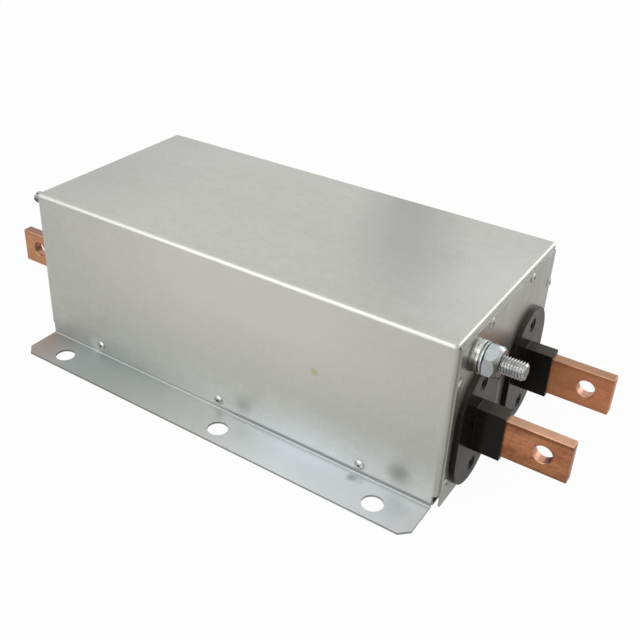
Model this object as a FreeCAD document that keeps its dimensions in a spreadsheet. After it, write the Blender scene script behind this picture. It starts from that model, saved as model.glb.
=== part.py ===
import FreeCAD, Part
import math
import os
import Sketcher

# Two-pole EMI line filter. A folded sheet-steel case holds two copper busbars that
# run through common-mode choke cores and leave both ends through moulded insulators.
# Millimetres. X runs along the case with the load end at +X, Z is up, and the origin
# is the centre of the face that the case is mounted on.

doc = FreeCAD.newDocument("LineFilter")
sheet = doc.addObject("Spreadsheet::Sheet", "Sizes")
Vector = FreeCAD.Vector


class Size:
    """A length that knows its number and the sheet expression that drives it."""

    def __init__(self, value, text):
        self.value = value
        self.text = text

    def __add__(self, other):
        other = as_size(other)
        return Size(self.value + other.value, f"({self.text} + {other.text})")

    def __sub__(self, other):
        other = as_size(other)
        return Size(self.value - other.value, f"({self.text} - {other.text})")

    def __mul__(self, factor):
        factor = as_size(factor)
        return Size(self.value * factor.value, f"({self.text} * {factor.text})")

    def __truediv__(self, divisor):
        divisor = as_size(divisor)
        return Size(self.value / divisor.value, f"({self.text} / {divisor.text})")

    def __neg__(self):
        return Size(-self.value, f"(-1 * {self.text})")


def as_size(thing):
    if isinstance(thing, Size):
        return thing
    return Size(float(thing), f"({float(thing)!r})")


row = 0


def size(name, value, meaning):
    """One driving dimension, written to its own row of the sheet."""
    global row
    row += 1
    sheet.set(f"A{row}", meaning)
    sheet.set(f"B{row}", str(value))
    sheet.setAlias(f"B{row}", name)
    return Size(float(value), "Sizes." + name)


# Case
body_length = size("body_length", 302, "case length over the end lips")
body_width = size("body_width", 142, "case width over the long walls")
body_height = size("body_height", 109, "case height from the mounting face")
cover_sheet = size("cover_sheet", 1.5, "thickness of the folded cover")
bend_radius = size("bend_radius", 1.2, "inside radius of every fold")
lip_depth = size("lip_depth", 12, "width of the end lips past the fold")
lip_start = size("lip_start", 9, "height at which the side lips begin")
mitre_gap = size("mitre_gap", 0.8, "slot between top lip and side lip")
mitre_reach = size("mitre_reach", 0.6, "mitre slot into the fold corner")
flange_reach = size("flange_reach", 28, "mounting flange beyond the wall")
flange_corner = size("flange_corner", 5.5, "cut corner of the flange")
flange_hole = size("flange_hole", 13, "mounting hole diameter")
flange_hole_out = size("flange_hole_out", 16.4, "mounting holes from the wall")
flange_hole_end = size("flange_hole_end", 30, "outer mounting holes from the case end")
flange_middle_shift = size("flange_middle_shift", 12, "middle hole from the case centre")
base_sheet = size("base_sheet", 1.5, "thickness of the base plate")
base_edge = size("base_edge", 14, "height of the upturned base edges")
base_play = size("base_play", 0.2, "base edge to cover wall")
end_sheet = size("end_sheet", 1.2, "thickness of the end plates")
end_inset = size("end_inset", 1.0, "end plate edge from the fold")
end_lift = size("end_lift", 0.5, "end plate above the mounting face")

# Blind rivets
rivet_shank = size("rivet_shank", 3.2, "rivet shank diameter")
rivet_head = size("rivet_head", 6.4, "rivet head diameter")
rivet_dome = size("rivet_dome", 1.1, "rivet head height")
rivet_bore = size("rivet_bore", 1.7, "open mandrel hole of the rivet")
rivet_tail = size("rivet_tail", 3.0, "length of the set tail behind the sheets")
base_rivet_height = size("base_rivet_height", 7.7, "low rivets above the mounting face")
base_rivet_end = size("base_rivet_end", 48.5, "outer low rivets from the case end")
top_rivet_pitch = size("top_rivet_pitch", 60, "spacing of the two top rivets of an end")
top_rivet_drop = size("top_rivet_drop", 6.6, "top rivets below the case top")
side_rivet_inset = size("side_rivet_inset", 6.6, "side rivets from the wall")
side_rivet_drop = size("side_rivet_drop", 25.5, "upper side rivets below the case top")
side_rivet_low = size("side_rivet_low", 16, "lower side rivets above the mounting face")

# Busbars and their insulators
pole_inset = size("pole_inset", 35, "busbar centre from the wall")
bar_width = size("bar_width", 25, "busbar width")
bar_thickness = size("bar_thickness", 7, "busbar thickness")
bar_reach = size("bar_reach", 58, "busbar beyond the end lips")
bar_hole = size("bar_hole", 11, "busbar hole diameter")
bar_hole_break = size("bar_hole_break", 0.4, "bevel at the rims of the busbar holes")
bar_hole_end = size("bar_hole_end", 15, "busbar hole from the busbar end")
bar_edge = size("bar_edge", 0.6, "rounding of the busbar edges")
plate_radius = size("plate_radius", 26, "end radius of the oval insulator flange")
plate_lift = size("plate_lift", 1.5, "insulator flange above the mounting face")
plate_headroom = size("plate_headroom", 30.5, "insulator flange below the case top")
plate_thickness = size("plate_thickness", 3.3, "thickness of the oval flange")
plate_rim = size("plate_rim", 0.6, "rounding of the flange rim")
sleeve_root = size("sleeve_root", 0.4, "rounding between the flange and the sleeve")
sleeve_side = size("sleeve_side", 1.75, "sleeve wall beside the busbar")
sleeve_cap = size("sleeve_cap", 2.0, "sleeve wall above and below the busbar")
sleeve_reach = size("sleeve_reach", 16.5, "sleeve beyond the flange face")
spigot_reach = size("spigot_reach", 7, "insulator inside the end plate")
bar_play = size("bar_play", 0.1, "busbar to its slot")
spigot_play = size("spigot_play", 0.3, "insulator to the end plate opening")
plate_screw_out = size("plate_screw_out", 15.5, "flange screws beyond the straight side")
screw_size = size("screw_size", 5, "flange screw thread diameter")
screw_play = size("screw_play", 0.15, "screw to its hole, on the radius")
screw_head = size("screw_head", 9.4, "countersunk head diameter")
screw_cone = size("screw_cone", 2.4, "countersunk head depth")
screw_length = size("screw_length", 14, "flange screw length")
screw_socket = size("screw_socket", 3, "hexagon socket across flats")
screw_socket_depth = size("screw_socket_depth", 1.6, "hexagon socket depth")
screw_nut = size("screw_nut", 8, "M5 nut across flats")
screw_nut_height = size("screw_nut_height", 4, "M5 nut height")

# Ground studs, M10 at the load end and M8 at the line end
stud_inset = size("stud_inset", 21.5, "ground studs from the front wall")
stud_play = size("stud_play", 0.2, "washers to the stud, on the radius")
load_stud_size = size("load_stud_size", 10, "load stud diameter")
load_stud_core = size("load_stud_core", 8.5, "load stud inside its nut")
load_stud_reach = size("load_stud_reach", 28.6, "load stud beyond the end plate")
load_stud_drop = size("load_stud_drop", 15.6, "load stud below the case top")
load_stud_point = size("load_stud_point", 1.2, "chamfer at the tip of the load stud")
load_stud_head = size("load_stud_head", 16, "load stud head across flats")
load_head_height = size("load_head_height", 6.4, "load stud head height")
collar_diameter = size("collar_diameter", 18.7, "round collar on the load end plate")
collar_height = size("collar_height", 4.9, "collar height")
load_spring_diameter = size("load_spring_diameter", 17.8, "load spring washer diameter")
load_spring_height = size("load_spring_height", 1.7, "load spring washer thickness")
load_nut = size("load_nut", 17, "load ground nut across flats")
load_nut_height = size("load_nut_height", 8.4, "load ground nut height")
load_nut_rim = size("load_nut_rim", 15.2, "outer face of the load ground nut inside its bevel")
line_stud_size = size("line_stud_size", 8, "line stud diameter")
line_stud_core = size("line_stud_core", 6.8, "line stud inside its nuts")
line_stud_reach = size("line_stud_reach", 24.8, "line stud beyond the end plate")
line_stud_drop = size("line_stud_drop", 17, "line stud below the case top")
line_stud_point = size("line_stud_point", 1, "chamfer at the tip of the line stud")
line_stud_head = size("line_stud_head", 13, "line stud head across flats")
line_head_height = size("line_head_height", 5.3, "line stud head height")
line_washer_diameter = size("line_washer_diameter", 16, "line flat washer diameter")
line_washer_height = size("line_washer_height", 1.6, "line flat washer thickness")
line_spring_diameter = size("line_spring_diameter", 14.8, "line spring washer diameter")
line_spring_height = size("line_spring_height", 2, "line spring washer thickness")
line_nut = size("line_nut", 13, "line ground nuts across flats")
line_nut_height = size("line_nut_height", 6.5, "line ground nut height")
line_nut_rim = size("line_nut_rim", 11.6, "outer face of the line ground nuts inside its bevel")
nut_slope = 55

# Choke cores and the boards that carry them
core_count = 4
core_thickness = size("core_thickness", 26, "one core along the busbars")
core_gap = size("core_gap", 0.2, "core to core and core to board")
core_wall_gap = size("core_wall_gap", 7.5, "core to the case wall")
core_inner = size("core_inner", 20, "inner end radius of the core")
pad_thickness = size("pad_thickness", 4.5, "pad under the cores")
core_edge = size("core_edge", 2, "rounding of the core edges")
board_thickness = size("board_thickness", 5, "insulating board thickness")
board_drop = size("board_drop", 13.5, "insulating board below the case top")
board_play = size("board_play", 0.2, "insulating board to the fold of the base edges")
rod_size = size("rod_size", 5, "tie rod diameter")
rod_inset = size("rod_inset", 9.4, "tie rods from the side of the board")
rod_lift = size("rod_lift", 11, "lower tie rods above the mounting face")
rod_end = size("rod_end", 2, "tie rod beyond its nut")
rod_nut = size("rod_nut", 8, "tie rod nut across flats")
rod_nut_height = size("rod_nut_height", 4, "tie rod nut height")

# Capacitors, their tabs and the discharge resistor
x_cap_length = size("x_cap_length", 52, "X capacitor along the case")
cap_screw_gap = size("cap_screw_gap", 1.5, "X capacitor to the tab screw heads")
x_cap_height = size("x_cap_height", 60, "X capacitor height")
cap_end = size("cap_end", 47, "capacitor centre from the case end")
y_cap_length = size("y_cap_length", 40, "Y capacitor along the case")
y_cap_wall = size("y_cap_wall", 2.6, "Y capacitor to the fold of the base edge")
y_cap_height = size("y_cap_height", 56, "Y capacitor height")
y_cap_gap = size("y_cap_gap", 4.5, "Y capacitor to its busbar")
cap_edge = size("cap_edge", 2, "rounding of the capacitor cases")
tab_sheet = size("tab_sheet", 1, "copper tab thickness")
tab_width = size("tab_width", 14, "copper tab width")
tab_seat = size("tab_seat", 12, "copper tab on the capacitor")
tab_below = size("tab_below", 8, "copper tab below its screw")
tab_shift = size("tab_shift", 10, "tab from the capacitor centre, along the case")
tab_screw_head = size("tab_screw_head", 9, "tab screw head diameter")
tab_screw_cap = size("tab_screw_cap", 3, "tab screw head height")
tab_screw_depth = size("tab_screw_depth", 5, "tab screw in the busbar")
resistor_diameter = size("resistor_diameter", 8, "discharge resistor diameter")
resistor_clear = size("resistor_clear", 3, "discharge resistor to the X capacitor tabs")
lead_diameter = size("lead_diameter", 1, "resistor lead diameter")
lead_bend = size("lead_bend", 2, "resistor lead bend radius")
doc.recompute()

# Planes and heights that several pieces share
fold = bend_radius + cover_sheet
end_face = body_length / 2
plate_face = end_face + end_sheet
flange_face = plate_face + plate_thickness
wall_face = body_width / 2
wall_inside = wall_face - cover_sheet
base_edge_face = wall_inside - base_play
half_pitch = wall_face - pole_inset
bar_half = bar_thickness / 2
plate_straight = body_height - plate_headroom - plate_lift - plate_radius * 2
plate_screw_rise = plate_straight / 2 + plate_screw_out
pole_height = plate_lift + plate_radius + plate_straight / 2
slot_half = bar_half + bar_play
slot_rise = bar_width / 2 + bar_play
sleeve_half = slot_half + sleeve_side
sleeve_rise = slot_rise + sleeve_cap
stack_half = (core_thickness + core_gap) * (core_count / 2) + core_gap / 2
board_face = stack_half + board_thickness
rivet_radius = rivet_shank / 2
stud_side = wall_face - stud_inset
stud_heights = {"load": body_height - load_stud_drop, "line": body_height - line_stud_drop}
stud_holes = {"load": load_stud_size + stud_play * 2, "line": line_stud_size + stud_play * 2}
core_build = pole_height - base_sheet - pad_thickness - core_inner
core_straight = (wall_inside - core_wall_gap - core_inner - core_build) * 2
base_floor_edge = base_edge_face - base_sheet - bend_radius
board_edge = base_floor_edge - board_play
rod_side = board_edge - rod_inset
rod_rise = pole_height - rod_lift
bar_inner = half_pitch - bar_half
bar_outer = half_pitch + bar_half
cap_center = end_face - cap_end
x_cap_width = (bar_inner - tab_sheet - tab_screw_cap - cap_screw_gap) * 2
y_cap_width = base_floor_edge - y_cap_wall - y_cap_gap - bar_outer
resistor_length = (x_cap_width / 2 - tab_seat - resistor_clear) * 2


class Sketch:
    """A sketch on an origin plane of its own body, with its points tied to the sheet."""

    def __init__(self, body, role, offset=None):
        self.feature = body.newObject("Sketcher::SketchObject", body.Label + "_sketch")
        planes = [plane for plane in body.Origin.OriginFeatures if plane.Role == role]
        self.feature.AttachmentSupport = [(planes[0], "")]
        self.feature.MapMode = "FlatFace"
        if offset is not None:
            self.feature.setExpression("AttachmentOffset.Base.z", as_size(offset).text)

    def constrain(self, kind, *where, value):
        value = as_size(value)
        number = self.feature.addConstraint(Sketcher.Constraint(kind, *where, value.value))
        self.feature.setExpression(f"Constraints[{number}]", value.text)

    def pin(self, curve, point, x, y):
        self.constrain("DistanceX", curve, point, value=x)
        self.constrain("DistanceY", curve, point, value=y)

    def circle(self, x, y, diameter):
        x, y, radius = as_size(x), as_size(y), as_size(diameter) / 2
        centre = Vector(x.value, y.value, 0)
        curve = self.feature.addGeometry(Part.Circle(centre, Vector(0, 0, 1), radius.value))
        self.pin(curve, 3, x, y)
        self.constrain("Radius", curve, value=radius)

    def arc(self, x, y, radius, start, end):
        circle = Part.Circle(Vector(x.value, y.value, 0), Vector(0, 0, 1), radius.value)
        curve = self.feature.addGeometry(Part.ArcOfCircle(circle, start, end))
        self.pin(curve, 3, x, y)
        self.constrain("Radius", curve, value=radius)
        return curve

    def join(self, kind, first, first_end, second, second_end):
        self.feature.addConstraint(Sketcher.Constraint(kind, first, first_end, second, second_end))

    def outline(self, corners):
        """A closed outline. A corner is (x, y), or (x, y, radius) where two edges that
        lie along the sketch axes meet."""
        corners = [tuple(as_size(number) for number in corner) for corner in corners]
        ends = []
        for index, corner in enumerate(corners):
            if len(corner) == 2:
                point = Vector(corner[0].value, corner[1].value, 0)
                ends.append((point, point, None))
                continue
            x, y, radius = corner
            before = self.toward(corner, corners[index - 1])
            after = self.toward(corner, corners[(index + 1) % len(corners)])
            centre = (x + radius * (before.x + after.x), y + radius * (before.y + after.y))
            tip = Vector(x.value, y.value, 0)
            entry, leave = tip + before * radius.value, tip + after * radius.value
            ends.append((entry, leave, self.corner_arc(centre, radius, entry, leave)))
        lines = []
        for index, corner in enumerate(ends):
            following = ends[(index + 1) % len(ends)]
            lines.append(self.feature.addGeometry(Part.LineSegment(corner[1], following[0])))
        for index, corner in enumerate(corners):
            arriving, leaving = lines[index - 1], lines[index]
            if ends[index][2] is None:
                self.join("Coincident", arriving, 2, leaving, 1)
                self.pin(leaving, 1, corner[0], corner[1])
                continue
            curve, turned = ends[index][2]
            self.join("Tangent", arriving, 2, curve, 2 if turned else 1)
            self.join("Tangent", leaving, 1, curve, 1 if turned else 2)

    def toward(self, corner, other):
        step = Vector(other[0].value - corner[0].value, other[1].value - corner[1].value, 0)
        return step.normalize()

    def corner_arc(self, centre, radius, entry, leave):
        x, y = centre
        start = math.atan2(entry.y - y.value, entry.x - x.value)
        end = math.atan2(leave.y - y.value, leave.x - x.value)
        turned = (end - start) % (2 * math.pi) > math.pi
        if turned:
            start, end = end, start
        return self.arc(x, y, radius, start, end), turned

    def rectangle(self, low_x, low_y, high_x, high_y):
        self.outline([(low_x, low_y), (high_x, low_y), (high_x, high_y), (low_x, high_y)])

    def oval(self, x, y, straight, radius, upright):
        """Two half circles joined by straight sides, standing or lying."""
        x, y = as_size(x), as_size(y)
        half = straight / 2
        if upright:
            first = self.arc(x, y + half, radius, 0, math.pi)
            second = self.arc(x, y - half, radius, math.pi, 2 * math.pi)
        else:
            first = self.arc(x - half, y, radius, math.pi / 2, 3 * math.pi / 2)
            second = self.arc(x + half, y, radius, 3 * math.pi / 2, 5 * math.pi / 2)
        curves = self.feature.Geometry
        down = Part.LineSegment(curves[first].EndPoint, curves[second].StartPoint)
        back = Part.LineSegment(curves[second].EndPoint, curves[first].StartPoint)
        down, back = self.feature.addGeometry(down), self.feature.addGeometry(back)
        self.join("Tangent", down, 1, first, 2)
        self.join("Tangent", down, 2, second, 1)
        self.join("Tangent", back, 1, second, 2)
        self.join("Tangent", back, 2, first, 1)

    def hexagon(self, x, y, across):
        """A hexagon with one corner on its first axis, which comes to stand upright."""
        corner = as_size(across) / math.sqrt(3)
        points = []
        for step in range(6):
            angle = math.radians(60 * step)
            points.append((as_size(x) + corner * math.cos(angle), as_size(y) + corner * math.sin(angle)))
        self.outline(points)


def new_body(label):
    body = doc.addObject("PartDesign::Body", label)
    body.Label = label
    return body


def add(body, kind, sketch, **settings):
    feature = body.newObject("PartDesign::" + kind, f"{body.Label}_{kind}")
    feature.Profile = sketch.feature
    for name, value in settings.items():
        if isinstance(value, Size):
            feature.setExpression(name, value.text)
        else:
            setattr(feature, name, value)
    return feature


def pad(body, sketch, length, **settings):
    return add(body, "Pad", sketch, Length=as_size(length), **settings)


def cut_through(body, sketch):
    """Cuts both ways from the sketch plane, and makes sure that something was cut."""
    doc.recompute()
    before = body.Tip.Shape.Volume
    feature = add(body, "Pocket", sketch, Type="ThroughAll", SideType="Symmetric")
    doc.recompute()
    if feature.Shape.Volume > before - 0.01:
        raise RuntimeError(f"{feature.Label} cuts nothing")
    return feature


def cut(body, sketch, depth, **settings):
    doc.recompute()
    before = body.Tip.Shape.Volume
    feature = add(body, "Pocket", sketch, Length=as_size(depth), **settings)
    doc.recompute()
    if feature.Shape.Volume > before - 0.01:
        raise RuntimeError(f"{feature.Label} cuts nothing")
    return feature


def turn(body, sketch):
    """Revolves the sketch round its own vertical axis."""
    feature = body.newObject("PartDesign::Revolution", body.Label + "_turned")
    feature.Profile = sketch.feature
    feature.ReferenceAxis = (sketch.feature, ["V_Axis"])
    feature.Angle = 360
    return feature


def mirror(body, features, role):
    feature = body.newObject("PartDesign::Mirrored", body.Label + "_mirrored")
    feature.Originals = features
    planes = [plane for plane in body.Origin.OriginFeatures if plane.Role == role]
    feature.MirrorPlane = (planes[0], [""])
    body.Tip = feature
    return feature


def dress(body, kind, amount, wanted):
    """Rounds or bevels the edges of the tip that the test picks out."""
    doc.recompute()
    base = body.Tip
    names = [f"Edge{i + 1}" for i, edge in enumerate(base.Shape.Edges) if wanted(edge)]
    feature = body.newObject("PartDesign::" + kind, f"{body.Label}_{kind}")
    feature.Base = (base, names)
    feature.setExpression("Radius" if kind == "Fillet" else "Size", amount.text)
    return feature


def runs_along(edge, axis):
    """True for a straight edge along X, Y or Z, given as 0, 1 or 2."""
    if edge.Degenerated or not isinstance(edge.Curve, Part.Line):
        return False
    return abs(abs(edge.Curve.Direction[axis]) - 1) < 1e-6


def place(node, x, y, z, rotation=None):
    node.Placement = FreeCAD.Placement(Vector(), rotation or FreeCAD.Rotation())
    for axis, value in (("x", x), ("y", y), ("z", z)):
        node.setExpression(f"Placement.Base.{axis}", as_size(value).text)


def copies(label, master, places):
    """Like pieces in one node: links to one master, each a solid of its own."""
    links = []
    for number, (x, y, z, rotation) in enumerate(places):
        link = doc.addObject("App::Link", f"{label}_{number + 1}")
        link.LinkedObject = master
        place(link, x, y, z, rotation)
        links.append(link)
    node = doc.addObject("Part::Compound", label)
    node.Label = label
    node.Links = links
    return node


# A fastener is modelled with its axis along Z and its head up. These turn it so that
# the head faces the load end, the line end, the front (-Y) or the rear (+Y).
HEAD_TO = {
    "load": FreeCAD.Rotation(Vector(0, 1, 0), 90),
    "line": FreeCAD.Rotation(Vector(0, 1, 0), -90),
    "front": FreeCAD.Rotation(Vector(1, 0, 0), 90),
    "rear": FreeCAD.Rotation(Vector(1, 0, 0), -90),
}
ENDS = {"load": 1, "line": -1}
POLES = {"front": -1, "rear": 1}
half_turn = FreeCAD.Rotation(Vector(0, 0, 1), 180)

low_rivets = [(end_face - base_rivet_end) * step for step in (-1, 0, 1)]
end_rivets = []
for side in (-1, 1):
    end_rivets.append((top_rivet_pitch / 2 * side, body_height - top_rivet_drop))
    end_rivets.append(((wall_face - side_rivet_inset) * side, body_height - side_rivet_drop))
    end_rivets.append(((wall_face - side_rivet_inset) * side, side_rivet_low))
rivet_hole = rivet_shank + 0.1


def housing_cover():
    """Top, walls and mounting flanges folded from one sheet, with a lip all round each
    end. The lips are mitred at the top corners and stop short of the flange fold."""
    body = new_body("housing_cover")
    flange_edge = wall_face + flange_reach
    roof_inside = body_height - cover_sheet
    profile = Sketch(body, "YZ_Plane")
    profile.outline([
        (flange_edge, 0),
        (flange_edge, cover_sheet),
        (wall_face, cover_sheet, bend_radius),
        (wall_face, body_height, fold),
        (-wall_face, body_height, fold),
        (-wall_face, cover_sheet, bend_radius),
        (-flange_edge, cover_sheet),
        (-flange_edge, 0),
        (-wall_inside, 0, fold),
        (-wall_inside, roof_inside, bend_radius),
        (wall_inside, roof_inside, bend_radius),
        (wall_inside, 0, fold),
    ])
    pad(body, profile, body_length - fold * 2, SideType="Symmetric")

    lip_root = end_face - fold - 1
    lip_inside = end_face - cover_sheet
    top = Sketch(body, "XZ_Plane")
    top_edge = body_height - fold - lip_depth
    top.outline([
        (lip_root, roof_inside),
        (lip_root, body_height),
        (end_face, body_height, fold),
        (end_face, top_edge),
        (lip_inside, top_edge),
        (lip_inside, roof_inside, bend_radius),
    ])
    top_lip = pad(body, top, body_width - fold * 2, SideType="Symmetric")

    sides = Sketch(body, "XY_Plane", lip_start)
    side_edge = wall_face - fold - lip_depth
    for side in (-1, 1):
        sides.outline([
            (lip_root, wall_inside * side),
            (lip_root, wall_face * side),
            (end_face, wall_face * side, fold),
            (end_face, side_edge * side),
            (lip_inside, side_edge * side),
            (lip_inside, wall_inside * side, bend_radius),
        ])
    side_lips = pad(body, sides, body_height - fold - lip_start)
    mirror(body, [top_lip, side_lips], "YZ_Plane")
    for quarter in range(4):
        corner_ball(body, "AdditiveSphere", fold, quarter)
        corner_ball(body, "SubtractiveSphere", bend_radius, quarter)

    mitres = Sketch(body, "YZ_Plane")
    half = mitre_gap / math.sqrt(8)
    start = (wall_face - fold + mitre_reach, body_height - fold + mitre_reach)
    end = (side_edge - 1, top_edge - 1)
    for side in (-1, 1):
        mitres.outline([
            ((start[0] + half) * side, start[1] - half),
            ((start[0] - half) * side, start[1] + half),
            ((end[0] - half) * side, end[1] + half),
            ((end[0] + half) * side, end[1] - half),
        ])
    cut_through(body, mitres)

    holes = Sketch(body, "XY_Plane")
    hole_line = wall_face + flange_hole_out
    for side in (-1, 1):
        for x in (flange_hole_end - end_face, flange_middle_shift, end_face - flange_hole_end):
            holes.circle(x, hole_line * side, flange_hole)
    cut_through(body, holes)

    end_holes = Sketch(body, "YZ_Plane")
    for y, z in end_rivets:
        end_holes.circle(y, z, rivet_hole)
    cut_through(body, end_holes)
    for end, sign in ENDS.items():
        stud_notch = Sketch(body, "YZ_Plane")
        stud_notch.circle(-stud_side, stud_heights[end], stud_holes[end])
        cut(body, stud_notch, body_length, Reversed=sign > 0)

    wall_holes = Sketch(body, "XZ_Plane")
    for x in low_rivets:
        wall_holes.circle(x, base_rivet_height, rivet_hole)
    cut_through(body, wall_holes)

    def flange_tip(edge):
        point = edge.Vertexes[0].Point
        return runs_along(edge, 2) and abs(abs(point.y) - flange_edge.value) < 1e-4

    dress(body, "Chamfer", flange_corner, flange_tip)
    return body


def corner_ball(body, kind, radius, quarter):
    """An eighth of a ball where the three folds of an upper corner meet."""
    ball = body.newObject("PartDesign::" + kind, f"{body.Label}_{kind}")
    ball.setExpression("Radius", radius.text)
    ball.Angle1 = 0
    ball.Angle2 = 90
    ball.Angle3 = 90
    end = 1 if quarter in (0, 3) else -1
    side = 1 if quarter in (0, 1) else -1
    facing = FreeCAD.Rotation(Vector(0, 0, 1), 90 * quarter)
    place(ball, (end_face - fold) * end, (wall_face - fold) * side, body_height - fold, facing)


def base_plate():
    """Closing sheet inside the walls, with its long edges turned up."""
    body = new_body("base_plate")
    inner = base_edge_face - base_sheet
    profile = Sketch(body, "YZ_Plane")
    profile.outline([
        (-base_edge_face, 0, bend_radius + base_sheet),
        (base_edge_face, 0, bend_radius + base_sheet),
        (base_edge_face, base_edge),
        (inner, base_edge),
        (inner, base_sheet, bend_radius),
        (-inner, base_sheet, bend_radius),
        (-inner, base_edge),
        (-base_edge_face, base_edge),
    ])
    pad(body, profile, (end_face - fold) * 2, SideType="Symmetric")
    holes = Sketch(body, "XZ_Plane")
    for x in low_rivets:
        holes.circle(x, base_rivet_height, rivet_hole)
    cut_through(body, holes)
    return body


def end_plate(end, sign):
    """Flat sheet riveted over the lips, with an opening for each insulator."""
    body = new_body(end + "_end_plate")
    outline = Sketch(body, "YZ_Plane", end_face)
    edge = wall_face - fold - end_inset
    top = body_height - fold - end_inset
    outline.rectangle(-edge, end_lift, edge, top)
    opening_half = sleeve_half + spigot_play
    opening_rise = sleeve_rise + spigot_play
    for side in POLES.values():
        y = half_pitch * side
        outline.rectangle(y - opening_half, pole_height - opening_rise,
                          y + opening_half, pole_height + opening_rise)
        for step in (-1, 1):
            z = pole_height + plate_screw_rise * step
            outline.circle(y, z, screw_size + screw_play * 2)
    for y, z in end_rivets:
        outline.circle(y, z, rivet_hole)
    # A stud is on the front side of the case at both ends, so the plate that is turned
    # round for the line end has its hole on the other side.
    outline.circle(stud_side * -sign, stud_heights[end], stud_holes[end])
    pad(body, outline, end_sheet)
    if sign < 0:
        place(body, 0, 0, 0, half_turn)
    return body


def insulator(end, sign, pole, side):
    """Oval flange, outer sleeve and inner spigot round one busbar, moulded in one."""
    body = new_body(f"{end}_{pole}_insulator")
    flange = Sketch(body, "YZ_Plane")
    flange.oval(0, 0, plate_straight, plate_radius, True)
    pad(body, flange, plate_thickness)

    def rim(edge):
        on_face = all(abs(v.Point.x - plate_thickness.value) < 1e-4 for v in edge.Vertexes)
        return on_face and len(edge.Vertexes) == 2

    dress(body, "Fillet", plate_rim, rim)
    sleeve = Sketch(body, "YZ_Plane", -(spigot_reach + end_sheet))
    sleeve.rectangle(-sleeve_half, -sleeve_rise, sleeve_half, sleeve_rise)
    pad(body, sleeve, spigot_reach + end_sheet + plate_thickness + sleeve_reach)

    def sleeve_edge(edge):
        point = edge.Vertexes[0].Point
        beyond = point.x > plate_thickness.value - 1e-4
        at_side = abs(abs(point.y) - sleeve_half.value) < 1e-4
        return runs_along(edge, 0) and beyond and at_side

    dress(body, "Fillet", plate_rim, sleeve_edge)

    def root(edge):
        points = [vertex.Point for vertex in edge.Vertexes]
        on_face = all(abs(point.x - plate_thickness.value) < 1e-4 for point in points)
        return on_face and all(abs(point.y) < sleeve_half.value + 1e-4 for point in points)

    dress(body, "Fillet", sleeve_root, root)
    slot = Sketch(body, "YZ_Plane")
    slot.rectangle(-slot_half, -slot_rise, slot_half, slot_rise)
    for step in (-1, 1):
        slot.circle(0, plate_screw_rise * step, screw_size + screw_play * 2)
    cut_through(body, slot)

    # Countersinks for the two flange screws
    for step in (-1, 1):
        cone = Sketch(body, "XZ_Plane")
        z = plate_screw_rise * step
        mouth = screw_head / 2 + screw_play
        throat = screw_size / 2 + screw_play
        cone.outline([
            (plate_thickness - screw_cone, z),
            (plate_thickness - screw_cone, z + throat),
            (plate_thickness, z + mouth),
            (plate_thickness + 1, z + mouth),
            (plate_thickness + 1, z),
        ])
        sink = body.newObject("PartDesign::Groove", f"{body.Label}_sink")
        sink.Profile = cone.feature
        axis = cone.feature.addGeometry(Part.LineSegment(Vector(0, z.value, 0), Vector(1, z.value, 0)), True)
        cone.pin(axis, 1, 0, z)
        cone.pin(axis, 2, 1, z)
        sink.ReferenceAxis = (cone.feature, ["Axis0"])
        sink.Angle = 360
    place(body, plate_face * sign, half_pitch * side, pole_height, half_turn if sign < 0 else None)
    return body


def busbar(pole, side):
    """One bar that runs through the whole filter."""
    body = new_body(pole + "_busbar")
    bar_end = end_face + bar_reach
    y = half_pitch * side
    outline = Sketch(body, "XZ_Plane", -y)
    outline.rectangle(-bar_end, pole_height - bar_width / 2, bar_end, pole_height + bar_width / 2)
    pad(body, outline, bar_thickness, SideType="Symmetric")
    dress(body, "Fillet", bar_edge, lambda edge: isinstance(edge.Curve, Part.Line))
    holes = Sketch(body, "XZ_Plane", -y)
    for end in ENDS.values():
        holes.circle((bar_end - bar_hole_end) * end, pole_height, bar_hole)
    cut_through(body, holes)

    def hole_rim(edge):
        return edge.isClosed() and abs(edge.Length - bar_hole.value * math.pi) < 1e-3

    dress(body, "Chamfer", bar_hole_break, hole_rim)

    # Tapped holes for the tab screws, from the inner face for the X capacitors and
    # from the outer face for the Y capacitor
    inner = Sketch(body, "XZ_Plane", (bar_half - half_pitch) * side)
    for end in ENDS.values():
        inner.circle((cap_center - tab_shift) * end, pole_height, screw_size)
    cut(body, inner, tab_screw_depth, Reversed=side < 0)
    outer = Sketch(body, "XZ_Plane", (-bar_half - half_pitch) * side)
    outer.circle(cap_center + tab_shift, pole_height, screw_size)
    cut(body, outer, tab_screw_depth, Reversed=side > 0)
    return body


def blind_rivets():
    """Domed blind rivets, set, with the mandrel hole open at the head."""
    master = new_body("blind_rivet")
    profile = Sketch(master, "XZ_Plane")
    grip = cover_sheet + base_sheet + base_play
    bore = rivet_bore / 2
    head = rivet_head / 2
    tail = rivet_radius + 0.7
    profile.outline([
        (0, -grip),
        (bore, -grip),
        (bore, rivet_dome),
        (rivet_radius + 0.2, rivet_dome),
        (head - 0.5, rivet_dome * 0.62),
        (head, 0.25),
        (head, 0),
        (rivet_radius, 0),
        (rivet_radius, -grip),
        (tail, -grip),
        (tail, -grip - rivet_tail + 1),
        (rivet_radius, -grip - rivet_tail),
        (0, -grip - rivet_tail),
    ])
    turn(master, profile)
    places = []
    for end, sign in ENDS.items():
        places += [(plate_face * sign, y, z, HEAD_TO[end]) for y, z in end_rivets]
    for pole, side in POLES.items():
        places += [(x, wall_face * side, base_rivet_height, HEAD_TO[pole]) for x in low_rivets]
    return copies("blind_rivets", master, places)


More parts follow.
